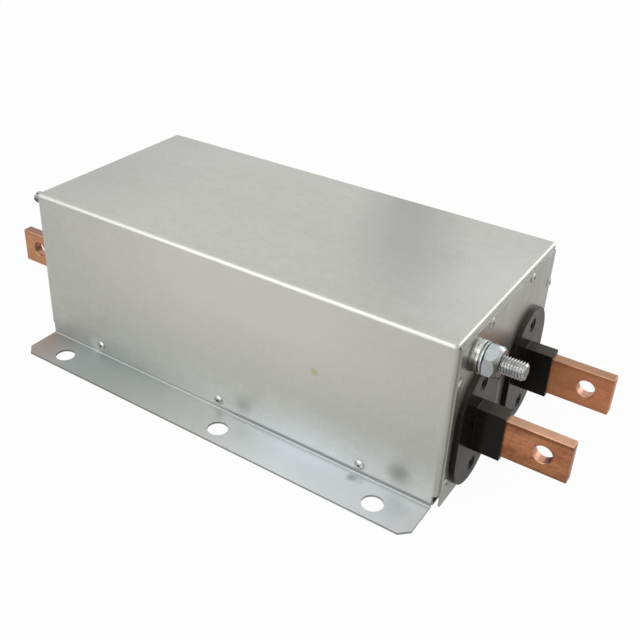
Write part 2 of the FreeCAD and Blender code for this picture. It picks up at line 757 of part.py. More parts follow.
def insulator_screws():
    """Countersunk socket screws that hold the insulators."""
    master = new_body("insulator_screw")
    profile = Sketch(master, "XZ_Plane")
    shank = screw_size / 2
    profile.outline([
        (0, -screw_length),
        (shank - 0.5, -screw_length),
        (shank, -screw_length + 0.5),
        (shank, -screw_cone),
        (screw_head / 2, 0),
        (0, 0),
    ])
    turn(master, profile)
    socket = Sketch(master, "XY_Plane")
    socket.hexagon(0, 0, screw_socket)
    cut(master, socket, screw_socket_depth)
    return copies("insulator_screws", master, screw_places(flange_face))


def screw_places(x):
    places = []
    for end, sign in ENDS.items():
        for side in POLES.values():
            for step in (-1, 1):
                z = pole_height + plate_screw_rise * step
                places.append((x * sign, half_pitch * side, z, HEAD_TO[end]))
    return places


def hexagon_nut(label, across, height, bore, rim=None, slope=30):
    """A nut that lies on its seat at Z = 0, with its outer face bevelled down from the rim."""
    master = new_body(label)
    outline = Sketch(master, "XY_Plane")
    outline.hexagon(0, 0, across)
    pad(master, outline, height)
    bevel = Sketch(master, "XZ_Plane")
    corner = across / math.sqrt(3)
    face = (across if rim is None else rim) / 2
    drop = (corner - face) * math.tan(math.radians(slope))
    bevel.outline([
        (face, height),
        (corner + 0.01, height - drop),
        (corner + 1, height - drop),
        (corner + 1, height + 0.5),
        (face, height + 0.5),
    ])
    groove = master.newObject("PartDesign::Groove", label + "_bevel")
    groove.Profile = bevel.feature
    groove.ReferenceAxis = (bevel.feature, ["V_Axis"])
    groove.Angle = 360
    hole = Sketch(master, "XY_Plane")
    hole.circle(0, 0, bore)
    cut_through(master, hole)
    return master


def ring(label, outer, inner, height):
    """A flat round washer or collar on Z = 0."""
    master = new_body(label)
    outline = Sketch(master, "XY_Plane")
    outline.circle(0, 0, outer)
    outline.circle(0, 0, inner)
    pad(master, outline, height)
    return master


def spring_washer(label, outer, inner, height):
    """A ring with a slanting split."""
    master = ring(label, outer, inner, height)
    split = Sketch(master, "XZ_Plane")
    split.outline([
        (-0.9, -0.5),
        (-0.1, -0.5),
        (0.9, height + 0.5),
        (0.1, height + 0.5),
    ])
    cut(master, split, outer, Reversed=True)
    return master


def ground_stud(end, nuts, thread, core, reach, point, head, head_height):
    """Stud with its head inside the lips; inside its nuts it has the size of their bore."""
    body = new_body(end + "_ground_stud")
    seat = end_face - cover_sheet
    tip = plate_face + reach - seat
    corners = [(0, 0), (thread / 2, 0)]
    for low, high in nuts:
        for width, level in ((thread, low), (core, low), (core, high), (thread, high)):
            corners.append((width / 2, level - seat))
    corners += [(thread / 2, tip - point), (thread / 2 - point, tip), (0, tip)]
    profile = Sketch(body, "XZ_Plane")
    profile.outline(corners)
    turn(body, profile)
    hexagon = Sketch(body, "XY_Plane")
    hexagon.hexagon(0, 0, head)
    pad(body, hexagon, head_height, Reversed=True)
    place(body, seat * ENDS[end], -stud_side, stud_heights[end], HEAD_TO[end])
    return body


def on_stud(end, x):
    return x * ENDS[end], -stud_side, stud_heights[end], HEAD_TO[end]


def load_ground_set():
    """M10 stud with a round collar, a spring washer and a nut."""
    collar_top = plate_face + collar_height
    nut_seat = collar_top + load_spring_height
    stud = ground_stud("load", [(nut_seat, nut_seat + load_nut_height)], load_stud_size, load_stud_core,
                       load_stud_reach, load_stud_point, load_stud_head, load_head_height)
    bore = stud_holes["load"]
    collar = ring("load_ground_collar", collar_diameter, bore, collar_height)
    place(collar, *on_stud("load", plate_face))
    spring = spring_washer("load_ground_spring_washer", load_spring_diameter, bore, load_spring_height)
    place(spring, *on_stud("load", collar_top))
    nut = hexagon_nut("load_ground_nut", load_nut, load_nut_height, load_stud_core, load_nut_rim, nut_slope)
    place(nut, *on_stud("load", nut_seat))
    return [stud, collar, spring, nut]


def line_ground_set():
    """M8 stud held by a nut, with a flat washer, a spring washer and a second nut."""
    washer_seat = plate_face + line_nut_height
    spring_seat = washer_seat + line_washer_height
    nut_seats = [plate_face, spring_seat + line_spring_height]
    stud = ground_stud("line", [(seat, seat + line_nut_height) for seat in nut_seats], line_stud_size,
                       line_stud_core, line_stud_reach, line_stud_point, line_stud_head, line_head_height)
    bore = stud_holes["line"]
    nut = hexagon_nut("line_ground_nut", line_nut, line_nut_height, line_stud_core, line_nut_rim, nut_slope)
    nuts = copies("line_ground_nuts", nut, [on_stud("line", seat) for seat in nut_seats])
    washer = ring("line_flat_washer", line_washer_diameter, bore, line_washer_height)
    washers = copies("line_flat_washers", washer, [on_stud("line", washer_seat)])
    spring = spring_washer("line_ground_spring_washer", line_spring_diameter, bore, line_spring_height)
    place(spring, *on_stud("line", spring_seat))
    return [stud, nuts, washers, spring]


def choke_core(number):
    """Flat oval core round both busbars."""
    body = new_body(f"choke_core_{number}")
    outer = core_inner + core_build
    outline = Sketch(body, "YZ_Plane")
    outline.oval(0, pole_height, core_straight, outer, False)
    outline.oval(0, pole_height, core_straight, core_inner, False)
    pad(body, outline, core_thickness, SideType="Symmetric")
    dress(body, "Fillet", core_edge, lambda edge: not runs_along(edge, 0))
    place(body, (core_thickness + core_gap) * (number - (core_count + 1) / 2), 0, 0)
    return body


def barrier(end, sign):
    """Insulating board that carries both busbars and clamps the cores."""
    body = new_body(end + "_barrier")
    outline = Sketch(body, "YZ_Plane", stack_half)
    outline.rectangle(-board_edge, base_sheet, board_edge, body_height - board_drop)
    for side in POLES.values():
        y = half_pitch * side
        outline.rectangle(y - slot_half, pole_height - slot_rise, y + slot_half, pole_height + slot_rise)
        for step in (-1, 1):
            outline.circle(rod_side * side, pole_height + rod_rise * step, rod_size + screw_play * 2)
    pad(body, outline, board_thickness)
    if sign < 0:
        place(body, 0, 0, 0, half_turn)
    return body


def core_pad():
    """Pad between the flat undersides of the cores and the base plate."""
    body = new_body("core_pad")
    outline = Sketch(body, "XY_Plane", base_sheet)
    length = stack_half - core_gap
    outline.rectangle(-length, -core_straight / 2, length, core_straight / 2)
    pad(body, outline, pad_thickness)
    return body


def tie_rods():
    rod = new_body("tie_rod")
    outline = Sketch(rod, "XY_Plane")
    outline.circle(0, 0, rod_size)
    pad(rod, outline, (board_face + rod_nut_height + rod_end) * 2, SideType="Symmetric")
    nut = hexagon_nut("tie_rod_nut", rod_nut, rod_nut_height, rod_size)
    spots = []
    for side in (-1, 1):
        for step in (-1, 1):
            spots.append((rod_side * side, pole_height + rod_rise * step))
    rods = copies("tie_rods", rod, [(0, y, z, HEAD_TO["load"]) for y, z in spots])
    nut_places = []
    for end, sign in ENDS.items():
        nut_places += [(board_face * sign, y, z, HEAD_TO[end]) for y, z in spots]
    return [rods, copies("tie_rod_nuts", nut, nut_places)]


def film_capacitor(label, x, y, length, width, height):
    """Rectangular cased capacitor that stands on the base plate."""
    body = new_body(label)
    outline = Sketch(body, "XY_Plane", base_sheet)
    outline.rectangle(x - length / 2, y - width / 2, x + length / 2, y + width / 2)
    pad(body, outline, height)
    dress(body, "Fillet", cap_edge, lambda edge: runs_along(edge, 2))
    return body


def bar_tab(label, x, case_top, bar_side, seat):
    """Copper tab that lies on a capacitor and turns down along the face of a busbar.
    bar_side is the y of that face and seat the y where the tab ends on the capacitor."""
    body = new_body(label)
    inward = 1 if seat.value > bar_side.value else -1
    inner_face = bar_side + tab_sheet * inward
    profile = Sketch(body, "YZ_Plane", x - tab_width / 2)
    profile.outline([
        (bar_side, pole_height - tab_below),
        (bar_side, case_top + tab_sheet),
        (seat, case_top + tab_sheet),
        (seat, case_top),
        (inner_face, case_top),
        (inner_face, pole_height - tab_below),
    ])
    pad(body, profile, tab_width)
    hole = Sketch(body, "XZ_Plane")
    hole.circle(x, pole_height, screw_size + screw_play * 2)
    cut_through(body, hole)
    return body


def ground_tab(label, side, case_top):
    """Copper tab from the end of a Y capacitor down to the base plate."""
    body = new_body(label)
    y = (bar_outer + y_cap_gap + y_cap_width / 2) * side
    end = cap_center - y_cap_length / 2
    profile = Sketch(body, "XZ_Plane", -(y + tab_width / 2))
    profile.outline([
        (end + tab_seat, case_top),
        (end + tab_seat, case_top + tab_sheet),
        (end - tab_sheet, case_top + tab_sheet),
        (end - tab_sheet, base_sheet + tab_sheet),
        (end - tab_sheet - tab_below, base_sheet + tab_sheet),
        (end - tab_sheet - tab_below, base_sheet),
        (end, base_sheet),
        (end, case_top),
    ])
    pad(body, profile, tab_width)
    return body


def capacitors():
    nodes = []
    x_top = base_sheet + x_cap_height
    y_top = base_sheet + y_cap_height
    screw_spots = []
    for end, sign in ENDS.items():
        x = cap_center * sign
        name = end + "_x_capacitor"
        nodes.append(film_capacitor(name, x, as_size(0), x_cap_length, x_cap_width, x_cap_height))
        for pole, side in POLES.items():
            tab_x = (cap_center - tab_shift) * sign
            seat = (x_cap_width / 2 - tab_seat) * side
            nodes.append(bar_tab(f"{end}_{pole}_x_tab", tab_x, x_top, bar_inner * side, seat))
            facing = "rear" if side < 0 else "front"
            screw_spots.append((tab_x, (bar_inner - tab_sheet) * side, pole_height, HEAD_TO[facing]))
    for pole, side in POLES.items():
        y = bar_outer + y_cap_gap + y_cap_width / 2
        label = pole + "_y_capacitor"
        nodes.append(film_capacitor(label, cap_center, y * side, y_cap_length, y_cap_width, y_cap_height))
        tab_x = cap_center + tab_shift
        seat = (bar_outer + y_cap_gap + tab_seat) * side
        nodes.append(bar_tab(pole + "_y_tab", tab_x, y_top, bar_outer * side, seat))
        nodes.append(ground_tab(pole + "_ground_tab", side, y_top))
        screw_spots.append((tab_x, (bar_outer + tab_sheet) * side, pole_height, HEAD_TO[pole]))

    screw = new_body("tab_screw")
    profile = Sketch(screw, "XZ_Plane")
    shank = screw_size / 2
    depth = tab_screw_depth + tab_sheet - 0.3
    profile.outline([
        (0, -depth),
        (shank, -depth),
        (shank, 0),
        (tab_screw_head / 2, 0),
        (tab_screw_head / 2, tab_screw_cap),
        (0, tab_screw_cap),
    ])
    turn(screw, profile)
    nodes.append(copies("tab_screws", screw, screw_spots))
    return nodes


def discharge_resistor():
    """Axial resistor on the load X capacitor, its leads bent down to the two tabs."""
    x_top = base_sheet + x_cap_height
    x = cap_center - tab_shift
    axis_height = x_top + resistor_diameter / 2
    parts = []

    def part(kind, base, rotation, **lengths):
        piece = doc.addObject("Part::" + kind, "resistor_" + kind)
        for name, value in lengths.items():
            piece.setExpression(name, as_size(value).text)
        place(piece, *base, rotation)
        parts.append(piece)
        return piece

    along_y = FreeCAD.Rotation(Vector(1, 0, 0), -90)
    half = resistor_length / 2
    lead = lead_diameter / 2
    part("Cylinder", (x, -half, axis_height), along_y, Radius=resistor_diameter / 2, Height=resistor_length)
    # The leads run level from the ends of the body, turn down and end on the tabs.
    level = lead_bend
    drop = resistor_diameter / 2 - tab_sheet - lead_bend
    for side in (-1, 1):
        start = half * side if side > 0 else -half - level
        part("Cylinder", (x, start, axis_height), along_y, Radius=lead, Height=level)
        elbow_y = (half + level) * side
        facing = FreeCAD.Rotation(Vector(0, 0, 1), 90 * side) * FreeCAD.Rotation(Vector(1, 0, 0), 90)
        elbow = part("Torus", (x, elbow_y, axis_height - lead_bend), facing, Radius1=lead_bend, Radius2=lead)
        elbow.Angle3 = 90
        foot = (x, (half + level + lead_bend) * side, x_top + tab_sheet)
        part("Cylinder", foot, None, Radius=lead, Height=drop)
    node = doc.addObject("Part::MultiFuse", "discharge_resistor")
    node.Label = "discharge_resistor"
    node.Shapes = parts
    return node


nodes = [housing_cover(), base_plate(), blind_rivets()]
for end, sign in ENDS.items():
    nodes.append(end_plate(end, sign))
    nodes.append(barrier(end, sign))
    for pole, side in POLES.items():
        nodes.append(insulator(end, sign, pole, side))
nodes += [busbar(pole, side) for pole, side in POLES.items()]
nodes.append(insulator_screws())
plate_nut = hexagon_nut("insulator_nut", screw_nut, screw_nut_height, screw_size)
inner_seat = {"load": HEAD_TO["line"], "line": HEAD_TO["load"]}
nut_places = []
for end, sign in ENDS.items():
    for x, y, z, rotation in screw_places(end_face):
        if (x.value > 0) == (sign > 0):
            nut_places.append((x, y, z, inner_seat[end]))
nodes.append(copies("insulator_nuts", plate_nut, nut_places))
nodes += load_ground_set() + line_ground_set()
nodes += [choke_core(number + 1) for number in range(core_count)]
nodes.append(core_pad())
nodes += tie_rods()
nodes += capacitors()
nodes.append(discharge_resistor())
doc.recompute()

for thing in doc.Objects:
    if "Invalid" in thing.State or "Error" in thing.State:
        raise RuntimeError(f"{thing.Label} is {thing.State}")
os.makedirs("parts", exist_ok=True)
for node in nodes:
    shape = node.Shape
    if shape.isNull() or not shape.isValid():
        raise RuntimeError(f"{node.Label} has no valid shape")
    shape.exportStep(f"parts/{node.Label}.step")
    print(f"{node.Label:24s} {len(shape.Solids)} solids, {shape.Volume:10.0f} mm3")
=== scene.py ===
import bpy
import bmesh
import math
from mathutils import Matrix, Vector


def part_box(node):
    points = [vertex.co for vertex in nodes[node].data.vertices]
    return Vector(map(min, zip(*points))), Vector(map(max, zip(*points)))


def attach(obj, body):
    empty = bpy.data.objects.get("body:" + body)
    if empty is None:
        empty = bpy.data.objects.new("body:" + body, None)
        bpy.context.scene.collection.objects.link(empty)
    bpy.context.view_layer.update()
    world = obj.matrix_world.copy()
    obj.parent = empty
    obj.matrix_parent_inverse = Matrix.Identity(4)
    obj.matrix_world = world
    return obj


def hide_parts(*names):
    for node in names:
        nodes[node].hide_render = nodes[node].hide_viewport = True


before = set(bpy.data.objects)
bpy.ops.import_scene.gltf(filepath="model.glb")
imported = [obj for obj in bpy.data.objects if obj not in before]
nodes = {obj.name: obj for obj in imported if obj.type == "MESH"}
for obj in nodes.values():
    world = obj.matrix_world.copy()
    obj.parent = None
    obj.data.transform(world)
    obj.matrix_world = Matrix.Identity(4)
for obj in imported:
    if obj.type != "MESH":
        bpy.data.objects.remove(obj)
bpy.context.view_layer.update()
mm = 0.001
print("frame loaded,", len(nodes), "nodes")

camera = {
    "place": (0.2777, -0.4174, 0.3481),
    "azimuth": 33.94, "elevation": 29.70, "roll": 1.51,  # degrees
    "lens": 49.27, "near": 0.01, "far": 30,
    "shiftX": 0.0618, "shiftY": -0.0619,  # the view is cut to one side of its lens axis
}


def addObject(name, data):
    thing = bpy.data.objects.new(name, data)
    bpy.context.scene.collection.objects.link(thing)
    return thing


def makeCamera(c):
    data = bpy.data.cameras.new("filterCamera")
    data.lens = c["lens"]
    data.shift_x, data.shift_y = c["shiftX"], c["shiftY"]
    data.clip_start, data.clip_end = c["near"], c["far"]
    cam = addObject("filterCamera", data)
    turn = Matrix.Rotation(math.radians(c["azimuth"]), 4, "Z")
    tilt = Matrix.Rotation(math.radians(90 - c["elevation"]), 4, "X")
    roll = Matrix.Rotation(math.radians(c["roll"]), 4, "Z")
    cam.matrix_world = Matrix.Translation(c["place"]) @ turn @ tilt @ roll
    bpy.context.scene.camera = cam


makeCamera(camera)
bpy.context.scene.view_settings.view_transform = "Standard"


def linear(code):  # sRGB hex to the linear colour that a socket takes
    parts = [int(code[i:i + 2], 16) / 255 for i in (1, 3, 5)]
    return [p / 12.92 if p <= 0.04045 else ((p + 0.055) / 1.055) ** 2.4 for p in parts] + [1.0]


# An input is a value, a socket, or a node for its first output.
def addNode(tree, kind, inputs=None, **settings):
    node = tree.nodes.new(kind)
    for name, value in settings.items():
        setattr(node, name, value)
    for key, value in (inputs or {}).items():
        if isinstance(value, bpy.types.Node):
            value = value.outputs[0]
        if isinstance(value, bpy.types.NodeSocket):
            tree.links.new(value, node.inputs[key])
        else:
            node.inputs[key].default_value = value
    return node


studio = {
    "lamps": {  # place, where it points, side in metres, watts, tint
        "overheadBox": ((-0.2, 0.3, 1.6), (0, 0, 0), 2.2, 2.5, "#FFFFFF"),
        "frontBox": ((-0.5, -1.6, 0.9), (0, 0, 0.03), 3.0, 30, "#FAFCFF"),
        # the first of these draws the long folds, the second the folds at the load end
        "edgeLightFront": ((-0.55, -1.0, 1.5), (0, 0, 0.1), 0.45, 1.1, "#FFFFFF"),
        "edgeLightRear": ((1.07, 1.58, 0.58), (0, 0, 0.1), 0.90, 6.0, "#FFFFFF"),
    },
    "worldFill": 0.45,  # light from all round
    "backdrop": "#FFFFFF",
    "floor": "#D6D3CE", "floorSize": 12.0, "floorHeight": -0.0003,
    "floorGlow": 0.965,  # how much of the floor is clean backdrop white; the rest keeps the shadow
    "floorInMetal": 0.38,  # the same for the floor as metal mirrors it, where the shadow is plainer
}


# One share is for camera and transmission rays, the other for glossy rays.
def seenDirectly(tree, bySight, byMirror):
    path = addNode(tree, "ShaderNodeLightPath").outputs
    mirrored = addNode(tree, "ShaderNodeMath", {0: path["Is Glossy Ray"], 1: byMirror}, operation="MULTIPLY")
    seen = addNode(tree, "ShaderNodeMath", {0: path["Is Camera Ray"], 1: path["Is Transmission Ray"]},
                   operation="MAXIMUM")
    return addNode(tree, "ShaderNodeMath", {0: seen, 1: bySight, 2: mirrored}, operation="MULTIPLY_ADD")


def makeStudio(s):
    for name, (place, aim, side, watts, colour) in s["lamps"].items():
        data = bpy.data.lights.new(name, "AREA")
        data.shape, data.size, data.energy = "SQUARE", side, watts
        data.color = linear(colour)[:3]
        lamp = addObject(name, data)
        lamp.location = place
        lamp.rotation_euler = (Vector(aim) - Vector(place)).to_track_quat("-Z", "Y").to_euler()
    world = bpy.data.worlds.new("studioWorld")
    world.use_nodes = True
    tree = world.node_tree
    tree.nodes.clear()
    white = linear(s["backdrop"])
    fill = addNode(tree, "ShaderNodeBackground", {"Color": white, "Strength": s["worldFill"]})
    seen = addNode(tree, "ShaderNodeBackground", {"Color": white, "Strength": 1.0})
    mix = addNode(tree, "ShaderNodeMixShader", {0: seenDirectly(tree, 1.0, 1.0), 1: fill, 2: seen})
    addNode(tree, "ShaderNodeOutputWorld", {"Surface": mix})
    bpy.context.scene.world = world

    mesh = bpy.data.meshes.new("studioFloor")
    half, low = s["floorSize"] / 2, s["floorHeight"]
    mesh.from_pydata([(-half, -half, low), (half, -half, low), (half, half, low), (-half, half, low)], [],
                     [(0, 1, 2, 3)])
    floor = addObject("studioFloor", mesh)
    material = bpy.data.materials.new("whitePaperFloor")
    material.use_nodes = True
    tree = material.node_tree
    tree.nodes.clear()
    paper = addNode(tree, "ShaderNodeBsdfDiffuse", {"Color": linear(s["floor"])})
    glow = addNode(tree, "ShaderNodeEmission", {"Color": white, "Strength": 1.0})
    share = seenDirectly(tree, s["floorGlow"], s["floorInMetal"])
    mix = addNode(tree, "ShaderNodeMixShader", {0: share, 1: paper, 2: glow})
    addNode(tree, "ShaderNodeOutputMaterial", {"Surface": mix})
    mesh.materials.append(material)


makeStudio(studio)
print("camera and studio made")

# A finish is a plain colour with layers of cloudy pattern over it. A layer says how long its
# patches are in millimetres along x, y and z, the part of the noise that shows, the colour that
# it brings, and what it adds to the roughness and to the relief, in millimetres. A band lies where
# all its ramps have risen, each from a place where it is not seen to one where it is full, in
# metres. A ramp runs along x, y, z or slant, which is x and a share of y, or with how far the
# surface faces x or z. A spot is round, or a round run along the axis that is flattened away.
barLow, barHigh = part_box("front_busbar")
barFoot, barTop = barLow[2], barHigh[2]
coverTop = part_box("housing_cover")[1][2]
holeFromTip = 15 * mm
onTop = ("z", coverTop - 0.0006, coverTop - 0.0001)
nearSide = ("y", -0.0700, -0.0708)
onFlange = ("z", 0.0019, 0.00155)
finishes = {
    # hot-dipped and skin-passed: soft grey clouds, rolling lines and a fine matt grain
    "zincCoatedSheetCover": {
        "colour": "#BFC0BA", "metallic": 0.65, "roughness": 0.30,
        "layers": [
            {"patch": (150, 90, 90), "detail": 4, "shows": (0.36, 0.66), "colour": "#B6B7B1", "rough": 0.05},
            {"patch": (200, 4.8, 4.8), "detail": 3, "shows": (0.35, 0.75), "colour": "#B2B3AD",
             "amount": 0.22, "rough": 0.04, "relief": 0.004},
            {"patch": (54, 38, 30), "detail": 5, "shows": (0.62, 0.78), "colour": "#9F9F97", "amount": 0.45},
            {"patch": (9, 6, 6), "detail": 4, "shows": (0.38, 0.66), "colour": "#A9AAA4", "amount": 0.35},
            {"patch": (1.5, 1.0, 1.0), "detail": 3, "shows": (0.3, 0.7), "colour": "#CBCCC6",
             "amount": 0.50, "relief": 0.010},
        ],
        "bands": [
            # the top: a darker slanted stretch across it, lighter at the load end, darker at the line end
            {"colour": "#888986", "amount": 0.50, "ramps": [
                ("slant", 0.040, 0.076), ("slant", 0.126, 0.090), ("y", -0.110, 0.060), onTop]},
            {"colour": "#D6D7D5", "amount": 0.45, "ramps": [
                ("x", 0.100, 0.142), ("y", -0.075, -0.010), ("y", 0.070, 0.015), onTop]},
            {"colour": "#A4A5A0", "amount": 0.40, "ramps": [("x", -0.070, -0.150), onTop]},
            # the near wall: darker low down at the load end; a painted pool of light makes it lightest in the
            # middle
            {"colour": "#A3A4A0", "amount": 0.35, "ramps": [
                ("x", 0.030, 0.080), ("z", 0.055, 0.030), ("z", 0.008, 0.020), nearSide]},
            {"colour": "#DADAD2", "amount": 0.75, "ramps": [
                ("x", -0.170, -0.020), ("x", 0.210, 0.060), ("z", 0.010, 0.080), nearSide]},
            # low on the walls, a painted reflection of the floor and flange: dark at the line end, bright and
            # bluish in the middle
            {"colour": "#8A9194", "amount": 0.42, "ramps": [("x", 0.000, -0.100), ("z", 0.019, 0.006)]},
            {"colour": "#D8DEE6", "amount": 0.22, "ramps": [
                ("x", -0.060, 0.000), ("x", 0.120, 0.060), ("z", 0.022, 0.006)]},
            # the mounting flanges: bluish and brown at the line end, bright at the load end
            {"colour": "#8E9CA6", "amount": 0.20, "ramps": [("x", 0.020, -0.060), onFlange]},
            {"colour": "#93837A", "amount": 0.5, "ramps": [("x", -0.118, -0.140), onFlange]},
            {"colour": "#E9EEF8", "amount": 0.62, "ramps": [
                ("x", 0.000, 0.060), ("x", 0.260, 0.110), onFlange]},
            # painted shade in the fold to the flange, and more of it towards the load end
            {"colour": "#80817C", "amount": 0.7, "ramps": [("z", 0.00152, 0.0019), ("z", 0.0036, 0.0026)]},
            {"colour": "#6E706D", "amount": 0.7, "ramps": [
                ("x", -0.010, 0.020), ("z", 0.0016, 0.0020), ("z", 0.0046, 0.0036)]},
            # the cut edges and hole walls of the flanges: painted shade, and bare steel where the zinc stops
            {"colour": "#67625A", "amount": 0.65, "ramps": [("z", 0.00005, 0.0001), ("z", 0.00145, 0.0013)]},
        ],
        "spots": [
            {"at": (0.0691, -0.071, 0.0588), "radius": 0.0031, "colour": "#C4BC96", "amount": 0.9},
            {"at": (0.1277, -0.071, 0.0129), "radius": 0.0100, "full": 0.15, "colour": "#82857F",
             "amount": 0.65},
            {"at": (-0.1075, -0.071, 0.0079), "radius": 0.0080, "full": 0.25, "colour": "#C8CBC8",
             "amount": 0.8},
            {"at": (0.0190, -0.071, 0.0120), "radius": 0.0085, "full": 0.2, "colour": "#95978F",
             "amount": 0.5},
            # a painted reflection of the low rivet in the flange
            {"at": (0.1010, -0.0765, 0.0015), "radius": 0.0042, "full": 0.2, "colour": "#838585",
             "amount": 0.7},
        ],
    },
    "zincCoatedSheetEnds": {  # the same sheet, cut flat: smoother and browner, with handling stains
        "colour": "#C3C5C1", "metallic": 0.85, "roughness": 0.26,
        "layers": [
            {"patch": (90, 90, 90), "detail": 4, "shows": (0.36, 0.66), "colour": "#A8A69F", "rough": 0.06},
            {"patch": (4, 4, 160), "detail": 3, "shows": (0.35, 0.75), "colour": "#8F8D86", "amount": 0.3,
             "rough": 0.05, "relief": 0.004},
            {"patch": (30, 34, 26), "detail": 5, "shows": (0.60, 0.76), "colour": "#8F8A80", "amount": 0.4},
            {"patch": (0.6, 0.6, 1.2), "detail": 2, "shows": (0.3, 0.7), "colour": "#B3B3AF", "amount": 0.2,
             "relief": 0.008},
        ],
    },
    "zincCoatedSheetBase": {  # the closing sheet, out of the light
        "colour": "#B0B2AE", "metallic": 0.75, "roughness": 0.38,
        "layers": [
            {"patch": (120, 80, 80), "detail": 4, "shows": (0.36, 0.66), "colour": "#A3A5A0", "rough": 0.06},
            {"patch": (200, 5, 5), "detail": 3, "shows": (0.35, 0.75), "colour": "#9B9D98", "amount": 0.3,
             "rough": 0.05, "relief": 0.005},
            {"patch": (1.2, 0.6, 0.6), "detail": 2, "shows": (0.3, 0.7), "colour": "#BBBDB9", "amount": 0.2,
             "relief": 0.010},
        ],
    },
    # drawn through a die: lines along the bar, salmon where rubbed, brown where tarnished
    "drawnCopperBar": {
        "colour": "#D08C66", "metallic": 0.9, "roughness": 0.32,
        "layers": [
            {"patch": (26, 20, 16), "detail": 4, "shows": (0.40, 0.60), "colour": "#A87A50", "amount": 0.80,
             "rough": 0.06},
            {"patch": (15, 11, 9), "detail": 4, "shows": (0.48, 0.64), "colour": "#94593E", "amount": 0.75,
             "rough": 0.05},
            {"patch": (60, 1.1, 1.1), "detail": 3, "shows": (0.38, 0.68), "colour": "#8D5B3E",
             "amount": 0.35, "rough": 0.05, "relief": 0.004},
            {"patch": (1.5, 1.5, 1.5), "detail": 4, "shows": (0.48, 0.64), "colour": "#7A4C35",
             "amount": 0.30, "relief": 0.003},
            {"patch": (20, 1.0, 1.0), "detail": 3, "shows": (0.62, 0.74), "colour": "#D9AE93",
             "amount": 0.35},
        ],
        "bands": [
            # darker bands beside the top and bottom edges, and a painted highlight that lightens the top face
            # and its edge
            {"colour": "#6A4129", "amount": 0.6, "ramps": [
                ("z", barTop - 0.0036, barTop - 0.0018), ("z", barTop - 0.0004, barTop - 0.0009)]},
            {"colour": "#7A4E36", "amount": 0.5, "ramps": [
                ("z", barFoot + 0.0026, barFoot + 0.0012), ("z", barFoot + 0.0001, barFoot + 0.0005)]},
            {"colour": "#DAB49B", "amount": 0.55, "ramps": [("z", barTop - 0.0007, barTop - 0.0001)]},
            # the rear bar, its top and its sides, then both bars at the line end: painted shade darkens the
            # tops, painted light brightens the sides
            {"colour": "#8F6A50", "amount": 0.6, "ramps": [("y", 0.005, 0.010), ("facingZ", 0.5, 0.9)]},
            {"colour": "#E0956A", "amount": 0.45, "ramps": [("y", 0.005, 0.010), ("facingZ", 0.5, 0.1)]},
            {"colour": "#7C5E4E", "amount": 0.8, "ramps": [("x", -0.145, -0.150), ("facingZ", 0.5, 0.9)]},
            {"colour": "#DFA480", "amount": 0.5, "ramps": [("x", -0.145, -0.150), ("facingZ", 0.5, 0.1)]},
        ],
        "spots": [  # the drilled bores are bare bright metal
            {"at": (x, 0, (barFoot + barTop) / 2), "flat": (1, 0, 1), "radius": 0.0058, "full": 0.97,
             "colour": "#D2A48F", "amount": 0.65}
            for x in (barLow[0] + holeFromTip, barHigh[0] - holeFromTip)],
    },
    "copperStrip": {  # rolled and punched, hardly handled
        "colour": "#C98A68", "metallic": 0.95, "roughness": 0.28,
        "layers": [
            {"patch": (60, 3, 3), "detail": 3, "shows": (0.35, 0.7), "colour": "#B5754F", "rough": 0.08,
             "relief": 0.006},
            {"patch": (14, 14, 14), "detail": 4, "shows": (0.55, 0.75), "colour": "#8E5A3F", "amount": 0.5},
        ],
    },
    "glossBlackMoulding": {  # compression-moulded thermoset, black and glossy, a little scuffed
        "colour": "#1A1816", "ior": 1.22, "roughness": 0.17,
        "layers": [
            {"patch": (16, 16, 16), "detail": 2, "shows": (0.35, 0.65), "colour": "#161412", "rough": 0.08,
             "relief": 0.03},
            {"patch": (1.1, 1.1, 1.1), "detail": 2, "shows": (0.4, 0.7), "colour": "#1C1A17", "amount": 0.6,
             "relief": 0.002},
            {"patch": (26, 3, 3), "detail": 4, "shows": (0.62, 0.74), "colour": "#2C2823", "amount": 0.5,
             "rough": 0.12},  # scuffs from handling
        ],
        "bands": [
            # a painted reflection makes the end faces a little brown, and painted light lightens what faces
            # up
            {"colour": "#1C1611", "amount": 0.8, "ramps": [("facingX", 0.5, 0.9)]},
            {"colour": "#59544E", "amount": 0.75, "ramps": [("facingZ", 0.5, 0.9)]},
        ],
    },
    "brightZincPlate": {  # electroplated and blue-passivated: bluish, bright, a little uneven
        "colour": "#B9BEC0", "metallic": 0.85, "roughness": 0.26,
        "layers": [
            {"patch": (5, 5, 5), "detail": 3, "shows": (0.38, 0.66), "colour": "#ABB0B2", "rough": 0.06},
            {"patch": (2.2, 2.2, 2.2), "detail": 3, "shows": (0.58, 0.72), "colour": "#858785", "amount": 0.5,
             "rough": 0.08, "relief": 0.006},
        ],
    },
    "bevelledZincNut": {  # the same plating, with a painted dark brown reflection on its outer face and bevel below the top
        "colour": "#B6BABB", "metallic": 0.85, "roughness": 0.27,
        "layers": [
            {"patch": (3.5, 3.5, 3.5), "detail": 3, "shows": (0.40, 0.64), "colour": "#A5ACAE",
             "rough": 0.06},
        ],
        "bands": [
            {"colour": "#5A5247", "amount": 0.9, "ramps": [("facingX", 0.2, 0.4), ("z", 0.1005, 0.0965)]},
        ],
    },
    "rolledZincThread": {  # the rolled crests and the turned faces shine like a mirror
        "colour": "#D0CDC8", "metallic": 1.0, "roughness": 0.10,
        "layers": [
            {"patch": (4, 4, 4), "detail": 3, "shows": (0.40, 0.66), "colour": "#A2A4A3", "rough": 0.05},
        ],
        "bands": [  # the sawn end is duller
            {"colour": "#798287", "amount": 0.9, "ramps": [("facingX", 0.6, 0.9)]},
        ],
    },
    "dullZincWasher": {  # the same plating gone olive and dull under the nut
        "colour": "#C6C7C2", "metallic": 1.0, "roughness": 0.18,
        "layers": [
